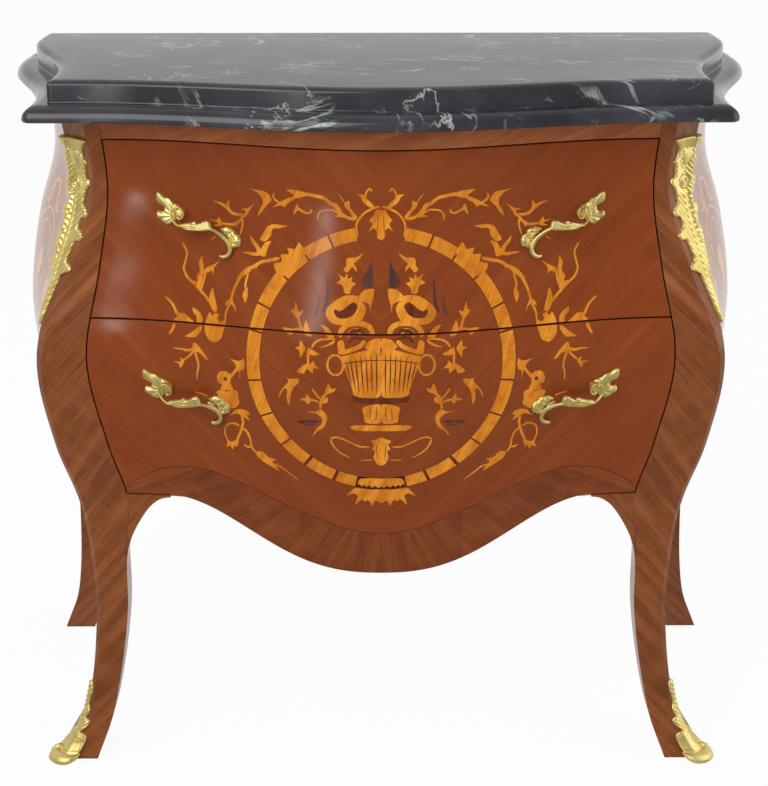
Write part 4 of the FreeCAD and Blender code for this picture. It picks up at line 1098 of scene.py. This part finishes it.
LIGHT_INLAY = [
    *SPRAYS,
    # bow
    stroke(2.4, 2.4, 26,703, 27,718, 19,730, 8,736, 1,738),
    blade(26,751, 19,751, 16,747, 7,738, 10,736, 19,742, 22,748),
    stroke(2.4, 1.6, 17,748, 16,754, 12,758, 10,754),
    # upper scroll
    stroke(3.2, 4, 27,728, 30,724, 39,726, 46,732, 51,737, 57,741, 64,746, 74,748, 84,749, 95,745),
    blade(106,753, 93,753, 82,750, 94,745, 99,741, 104,738, 108,733, 112,735, 122,732, 114,738, 105,743, 97,747),
    stroke(3, 1.6, 114,738, 119,741, 121,745, 119,748),
    blade(53,741, 49,740, 44,733, 39,726, 31,725, 40,725, 53,726, 47,728, 54,732, 49,733),
    stroke(2.4, 1.4, 51,733, 60,733, 67,731, 70,727, 71,721),
    blade(49,753, 43,747, 40,742, 35,744, 34,736, 27,727, 30,724, 35,732, 40,737, 41,742),
    stroke(3.4, 1.6, 94,737, 93,733, 88,730, 82,728, 78,730, 78,733),
    blade(94,738, 92,733, 98,725, 97,731),
    blade(149,751, 139,750, 130,749, 125,745, 123,739, 129,733, 134,726, 139,721, 137,728, 133,735, 134,742, 140,748),
    # loop
    stroke(3.2, 3, 163,485, 162,475, 166,460, 171,449),
    stroke(2.4, 1.6, 166,470, 173,473, 181,470, 184,464, 184,455, 181,449),
    blade(183,449, 182,445, 184,439, 179,441, 176,436, 174,442, 171,440, 168,450, 173,449, 177,447),
    stroke(2.6, 2.2, 163,468, 157,462, 154,453, 153,443, 148,435),
    stroke(3.2, 1.6, 154,443, 158,442, 162,445),
    blade(148,436, 140,437, 133,430, 124,428, 129,425, 126,421, 121,412, 129,417, 139,423, 146,429),
    stroke(2.4, 1, 127,421, 118,418, 111,412, 98,402),
    # inner
    blade(20,686, 28,681, 38,680, 39,672, 42,667, 38,664, 35,667, 32,670, 27,665, 28,671, 30,674, 26,678, 23,681),
    blade(38,663, 41,658, 48,662, 45,656, 50,652, 43,649, 41,641, 35,640, 33,647, 28,652, 33,654, 32,659, 37,657),
    blade(8,646, 18,645, 25,638, 24,633, 18,631, 13,628, 12,619, 11,628, 9,634, 8,641),
    stroke(7, 6, 23,631, 29,635, 41,634, 52,627, 59,619, 56,611, 48,608, 38,609, 29,609, 23,614, 20,624, 25,631),
    stroke(6, 6, 46,591, 45,598, 38,605, 28,607, 19,606, 12,602, 9,593),
    stroke(3.4, 3, 37,591, 35,597, 27,600, 23,594),
    blade(97,628, 98,620, 102,618, 98,613, 95,610, 91,613, 88,619, 93,617, 95,623),
    stroke(2.4, 2.4, 94,612, 92,603, 89,597),
    stroke(2.4, 3, 99,597, 93,598, 88,597),
    blade(112,598, 106,598, 99,597, 102,590, 108,594),
    blade(85,608, 82,601, 79,594, 79,590, 85,591, 88,598),
    blade(68,604, 60,601, 55,594, 53,591, 61,590, 64,598),
    stroke(2.4, 2.6, 52,589, 68,587, 75,583, 79,577),
    blade(92,585, 93,578, 98,576, 93,573, 92,565, 86,575, 88,580),
    blade(83,577, 75,573, 70,570, 76,568, 82,570),
    stroke(2.6, 2.6, 83,576, 83,562, 83,557),
    blade(84,559, 91,554, 96,548, 88,546, 85,552, 78,547, 77,553, 71,553, 75,557, 77,562, 81,558),
    blade(52,588, 61,582, 70,578, 63,579, 54,583),
    blade(109,541, 106,538, 95,539, 95,534, 101,527, 104,518, 106,505, 109,512, 108,524, 112,525, 118,513, 116,521,
        110,530, 106,535),
    stroke(2.2, 2.2, 79,528, 74,520, 70,515),
    stroke(3, 3, 57,527, 66,519, 69,512, 70,502),
    blade(60,535, 63,529, 64,522, 54,525, 52,530, 57,529),
    stroke(2.4, 2.4, 70,510, 77,513, 85,513),
    blade(86,521, 87,516, 94,513, 87,511, 84,507, 81,513),
    blade(69,514, 62,518, 61,512, 67,509),
    blade(86,498, 76,498, 69,501, 63,494, 63,486, 67,477, 74,472, 80,464, 75,475, 69,482, 68,489, 74,495),
    # basket
    blade(45,567, 39,570, 29,573, 18,576, 1,577, 1,521, 29,520, 33,530, 38,545),
    blade(1,590, 12,588, 18,581, 14,577, 1,578),
    blade(49,585, 43,587, 41,576, 48,571),
    stroke(5, 5, 47,572, 35,576, 24,581, 18,588),
    blade(21,506, 1,510, 1,486, 18,486, 20,496),
    blade(36,479, 30,482, 1,482, 0,475, 27,475),
    # garland
    stroke(2.4, 2, 59,462, 53,465, 45,463, 33,457, 24,453, 13,453),
    stroke(2.8, 1.6, 59,461, 55,452, 48,444, 36,437),
    stroke(1.8, 1.8, 24,434, 10,435),
    # fringe, and the scalloped block over it
    blade(0,393, 12,392.6, 30,395, 35,391, 41,383, 33,387, 27.4,383.6, 31.4,370, 25.6,376.6, 22,378.4, 19.4,375.4,
        16.6,377.6, 13.6,376.4, 10.8,369.2, 7.6,376, 4,376.6, 0,373.4, share=2),
    blade(0,408.7, 24.6,408.4, 27.6,399.6, 25.4,400.6, 22.8,397.2, 20,399.8, 17,396.4, 14,399.2, 10.6,395.8,
        7.2,398.6, 3.6,395.6, 0,397.8, share=2),
    # flower by the lower pull
    blade(190.2,533.3, 186,539.7, 178.7,540.2, 173.5,535.5, 174.8,526, 171.8,517.6, 186.5,516.6, 184.5,523,
        189.6,526, share=3),
    # the leaf that closes the ring's shoulder
    blade(119,661, 121,669, 112,672, 113,680, 104,681, 105,688, 97,687, 92,695, 87,689, 80,688, 86,681, 97,673,
        106,663, 112,655),
]
MIDDLE_INLAY = [
    whole(1,734, 5,734, 7,730, 9,727, 13,722, 9,719, 14,709, 9,714, 5,712, 4,703, 0,700),
    whole(0,466, 7,463, 12,461, 8,456, 11,450, 7,447, 9,438, 5,429, 0,427),
]
DARK_INLAY = [
    blade(10,678, 13,670, 18,662, 22,652, 17,647, 9,649, 9,662),
    stroke(2.0, 4.6, 59.5,656, 60.2,641, 61.5,628, 66,618),
    stroke(1.6, 3.4, 70.3,638, 71,625, 73.8,613),
    stroke(2.2, 4.6, 98,483, 88,484, 72,485),
    stroke(1.6, 2.4, 97,483, 86,480, 76,481),
]
SHADE_INLAY = [
    blade(33,521, 22,518.5, 0,518, 0,511, 17,511, 31,513),
    blade(53,619, 50,613.4, 43.3,612, 36,613.4, 30,618, 26,626.4, 31,630.6, 37,627, 42,622.4, 47.7,620, 51.5,622.4),
    blade(39,594, 35,598, 30.8,600.4, 22,600, 17.6,594, 23,596.6, 30,597, 36,594),
    stroke(3.0, 2.0, 37,584.7, 31,590, 24,590.5, 16,588),
    # the basket's canes
    *[stroke(1.7, 1.3, *ends) for ends in (
        (5,572, 5,524), (11,571, 10,524), (17,570, 15,524), (23,569, 20,524), (29,567, 25,525),
        (35,565, 29,529), (40,563, 34,536),
    )],
    stroke(1.2, 1.2, 44,560, 20,564, 0,565),
    stroke(0.9, 0.9, 5,508, 6,488),
    stroke(0.9, 0.9, 12,506, 13,488),
    stroke(1.2, 1.2, 31,396.6, 14,394.2, 0,394.0),
    disc(-180.4, 531, 2.3, 1.1, 12),
    stroke(0.8, 0.8, 3,728, 4,706),
    stroke(0.9, 0.9, 6,458, 4,434),
]
RING_Z, RING_OUTER, RING_INNER = 555.5, (154.9, 161.2), (139.6, 146.6)
RING_JOINTS = (79.5, 67.6, 54.8, 41.2, 25.1, 13.5, -8.4, -25.3, -41.0, -54.4, -68.7, -79.3)
RING_GAP, FOOT_GAP, FOOT_BELOW = 0.42, 0.8, -50
SPLIT_CLEAR = GAP / 2 + 0.55
INLAY_SUNK, SHEET_PITCH = -0.5, 6.0


def ring_block(start, end, grow=0.0):
    """A block of the ring between two angles, in degrees up from the left."""
    turns = [radians(a) for a in steps(min(start, end), max(start, end), 2.5)]
    outer, inner = ([Vector((-(across + out) * cos(a), RING_Z + (tall + out) * sin(a))) for a in turns]
                    for (across, tall), out in ((RING_OUTER, grow), (RING_INNER, -grow)))
    return outer + inner[::-1]


def ring_gap(angle):
    """Half the joint between two blocks, in degrees; the joints are wider at the ring's foot."""
    return FOOT_GAP if angle < FOOT_BELOW else RING_GAP


def hoop(x, z, across, tall, width):
    """A closed ring, drawn as two strokes."""
    turns = [radians(18 * k) for k in range(-5, 6)]
    half = [(x + across * cos(a), z + tall * sin(a)) for a in turns]
    return [stem(half, width, width), stem([(2 * x - px, pz) for px, pz in half], width, width)]


for start, end in zip(RING_JOINTS, RING_JOINTS[1:]):
    LIGHT_INLAY.append(ring_block(start - ring_gap(start), end + ring_gap(end)))
LIGHT_INLAY += hoop(-52, 558, 9.0, 12.0, 2.6)
RING_LINE = [ring_block(RING_JOINTS[0] - 0.1, RING_JOINTS[-1] + 0.1, 0.5), ring_block(-78.4, -101.6, 0.5)]


def sheets(loops, top):
    """Thin sheets over the front, from its outlines."""
    return outwards(joined(*(raised(loop, on_front, top, INLAY_SUNK, SHEET_PITCH) for loop in loops)))


def inlaid(name, loops, top, material_key, both=True):
    """Inlay sheets on both drawer fronts from outlines over the whole front, cut at the drawers' joint."""
    if both:
        loops = loops + [mirrored(loop) for loop in loops]
    for word, above in (("upper", True), ("lower", False)):
        level = SPLIT_Z + (SPLIT_CLEAR if above else -SPLIT_CLEAR)
        cut = [part for part in (clipped(loop, level, above) for loop in loops) if len(part) > 2]
        if cut:
            show(f"{word}_{name}", sheets(cut, top), material_key, f"{word}_drawer", "mahogany", sharp=50)


inlaid("inlay_dark", DARK_INLAY, 0.1, "inlay_dark")
inlaid("inlay_ring_line", RING_LINE, 0.08, "inlay_shade")
inlaid("inlay_light", LIGHT_INLAY, 0.14, "inlay")
inlaid("inlay_middle", MIDDLE_INLAY, 0.17, "inlay", both=False)
inlaid("inlay_shade", SHADE_INLAY, 0.21, "inlay_shade")

# fainter sprays on the side panels, the same leaves set about each panel's middle, with the bow larger and lower
SIDE_MIDDLE_Y, SPRAY_SHIFT, BOW_SIZE, BOW_Z, SIDE_BOW_Z = 58.0, 112.0, 1.5, 715, RING_Z + 40


def side_sprays():
    loops = [[Vector((p.x + SPRAY_SHIFT, p.y)) for p in loop] for loop in SPRAYS]
    loops += [[Vector((p.x * BOW_SIZE, SIDE_BOW_Z + (p.y - BOW_Z) * BOW_SIZE)) for p in MIDDLE_INLAY[0]]]
    loops += [mirrored(loop) for loop in loops[:-1]] + hoop(0, RING_Z + 42, 46.0, 62.0, 3.0)
    return joined(*(raised(loop, lambda u, v, h: on_side(SIDE_MIDDLE_Y + u, v, h), 0.06, INLAY_SUNK, SIDE_PITCH)
                    for loop in loops))


show_sides(("side_inlay", side_sprays(), "inlay_side", "mahogany", None, {"sharp": 50}))

# the crossband along the apron, in book-matched lengths, and the line that edges it
BAND_EDGE = (
    (-311, 372), (-296, 384), (-279, 394), (-260, 401), (-241, 404.5), (-222, 405), (-203, 402), (-165, 388),
    (-125, 369), (-73, 347), (-36, 334), (0, 329),
)
BAND_JOINTS = (0.0, 34.0, 98.0, 160.0, 226.0, 320.0)
BAND_GRAIN = (8.0, 28.0, 47.0, 58.0, 66.0)
BAND_RISE, BAND_PITCH, BAND_SHIFT = 1.1, 6.0, (61, 37)


def band_edge(x):
    """The crossband's upper edge."""
    xs, zs = zip(*[(p.x, p.y) for p in smooth_line(BAND_EDGE, 6)])
    return float(np.interp(-abs(x), xs, zs))


def band_low(x):
    return apron_z(x) + BAND_RISE


def crossband():
    lengths = []
    for k, grain in enumerate(BAND_GRAIN):
        near, far = BAND_JOINTS[k], min(BAND_JOINTS[k + 1], inner_edge(HEM_Z + 8) - GAP - 1.2)
        xs = steps(-far, -near, BAND_PITCH)
        high = [Vector((x, max(band_edge(x), band_low(x) + 0.5))) for x in xs]
        loop = [Vector((x, band_low(x))) for x in xs][::-1] + high
        along, up = cos(radians(grain)), sin(radians(grain))
        for side in (loop, mirrored(loop)):
            points, faces, _ = sheets([side], 0.1)
            turned = [(abs(p[0]) * along + p[2] * up, p[2] * along - abs(p[0]) * up) for p in points]
            uvs = [tuple((v + shift * k) * MM for v, shift in zip(uv, BAND_SHIFT)) for uv in turned]
            lengths.append((points, faces, uvs))
    return joined(*lengths)


show("lower_crossband", crossband(), "band", "lower_drawer", "mahogany", sharp=50)
line = stem(BAND_EDGE, 1.2, 1.2, 4)
show("lower_band_line", sheets([line, mirrored(line)], 0.16), "inlay_shade", "lower_drawer", "mahogany", sharp=50)

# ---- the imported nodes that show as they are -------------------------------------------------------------
for name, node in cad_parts.items():
    if name.endswith("_bolts"):
        material_key = "iron"
    elif name in ("corner_mounts", "sabots", "upper_pulls", "lower_pulls"):
        material_key = "brass"
    elif any(word in name for word in ("drawer_side", "runner", "kicker", "side_rail")):
        material_key = "wood_deep"
    else:
        material_key = "wood"
    node.data.materials.clear()
    node.data.materials.append(MAT[material_key])

# ---- floor, light and camera ----------------------------------------------------------------------------
CAMERA_AT = (-4.3, -2060.1, 1153.6)
CAMERA_PITCH, CAMERA_YAW, CAMERA_ROLL = 0.33219, 0.0020, 0.0011
FOCAL_PIXELS, FRAME_W, FRAME_H = 1687.8, 768, 786
PRINCIPAL_X, SENSOR = 380.5, 36.0
MIDDLE, GLINT = (0, 0, 450), (-69.0, -222.0, 654.0)
# each lamp's place, what it faces, its width, height and power
LAMPS = {
    "key": ((-1500, -2300, 2400), MIDDLE, 2.3, 2.3, 53),
    "fill": ((2900, -900, 1500), MIDDLE, 2.8, 2.8, 34),
    "streak": ((-1050.0, -2302.0, 603.0), GLINT, 0.12, 0.11, 0.42),
    "window": ((-1050.0, -2302.0, 700.0), GLINT, 0.36, 0.28, 1.0),
}
WORLD_LIGHT, FLOOR_GLOW, FRONT_GLOW, ABOVE_GLOW = 0.58, 0.94, 0.3, 0.62
FLOOR_HALF = 14.0


def camera():
    data = bpy.data.cameras.new("camera")
    cam = linked("camera", data)
    cam.location = [v * MM for v in CAMERA_AT]
    turn = Matrix.Rotation(-CAMERA_YAW, 4, "Z") @ Matrix.Rotation(pi / 2 - CAMERA_PITCH, 4, "X")
    cam.rotation_euler = (turn @ Matrix.Rotation(-CAMERA_ROLL, 4, "Z")).to_euler()
    data.sensor_fit = "VERTICAL"
    data.sensor_height = data.sensor_width = SENSOR
    data.lens = FOCAL_PIXELS * SENSOR / FRAME_H
    data.shift_x = (FRAME_W / 2 - PRINCIPAL_X) / FRAME_H
    bpy.context.scene.camera = cam


def softbox(name, place, aim, width, height, power):
    """A lamp that faces a point; places in millimetres, its size in metres."""
    light = bpy.data.lights.new(name, "AREA")
    light.shape = "RECTANGLE"
    light.size, light.size_y = width, height
    light.energy = power
    lamp = linked(name, light)
    lamp.location = Vector(place) * MM
    lamp.rotation_euler = (Vector(aim) * MM - Vector(place) * MM).to_track_quat("-Z", "Y").to_euler()


def world_light():
    """Plain light all round; in reflections the studio is bright above and behind, and dimmer towards the front."""
    world = bpy.data.worlds.new("studio")
    bpy.context.scene.world = world
    w = Nodes(world)
    path = w.node("LightPath")
    way = w.node("SeparateXYZ", w.node("TexCoord").outputs["Generated"])
    ahead = w.node("MapRange", way.outputs["Y"], -0.5, 0.4, FRONT_GLOW, 1.0)
    above = w.node("MapRange", way.outputs["Z"], 0.04, 0.14, 1.0, ABOVE_GLOW)
    plain = w.node("Background", (0.97, 0.98, 1.0), WORLD_LIGHT)
    seen = w.node("Background", (1, 1, 1), w.times(ahead.outputs[0], above.outputs[0]))
    shown = w.node("Background", (1, 1, 1), 1.0)
    lit = w.node("MixShader", path.outputs["Is Glossy Ray"], plain.outputs[0], seen.outputs[0])
    both = w.node("MixShader", path.outputs["Is Camera Ray"], lit.outputs[0], shown.outputs[0])
    w.node("OutputWorld", both.outputs[0])


def floor():
    """White paper that glows at the camera, and in reflections more the further back it lies."""
    n = FLOOR_HALF
    mesh = bpy.data.meshes.new("floor")
    mesh.from_pydata([(-n, -n, 0), (n, -n, 0), (n, n, 0), (-n, n, 0)], [], [(0, 1, 2, 3)])
    obj = linked("floor", mesh)
    m = material("floor_paper")
    fibre = m.noise(m.coords("Object"), 40.0, 3.0)
    m.set(Base_Color=m.ramp(fibre, (0.3, (0.86, 0.86, 0.87)), (0.7, (0.9, 0.9, 0.9))), Roughness=0.9)
    path = m.node("LightPath")
    camera_ray, glossy_ray = path.outputs["Is Camera Ray"], path.outputs["Is Glossy Ray"]
    where = m.node("SeparateXYZ", m.node("TexCoord").outputs["Object"])
    back = m.node("MapRange", where.outputs["Y"], -0.4, 0.6, FRONT_GLOW, FLOOR_GLOW)
    glow = m.node("Emission", Strength=m.math("MAXIMUM", camera_ray, m.times(glossy_ray, back.outputs[0])))
    share = m.math("MAXIMUM", m.times(camera_ray, FLOOR_GLOW), glossy_ray)
    mix = m.node("MixShader", share, m.shader.outputs[0], glow.outputs[0])
    m.feed(m.out.inputs[0], mix.outputs[0])
    mesh.materials.append(m.owner)


camera()
world_light()
for name, lamp in LAMPS.items():
    softbox(name, *lamp)
floor()
bpy.context.scene.view_settings.view_transform = "Standard"
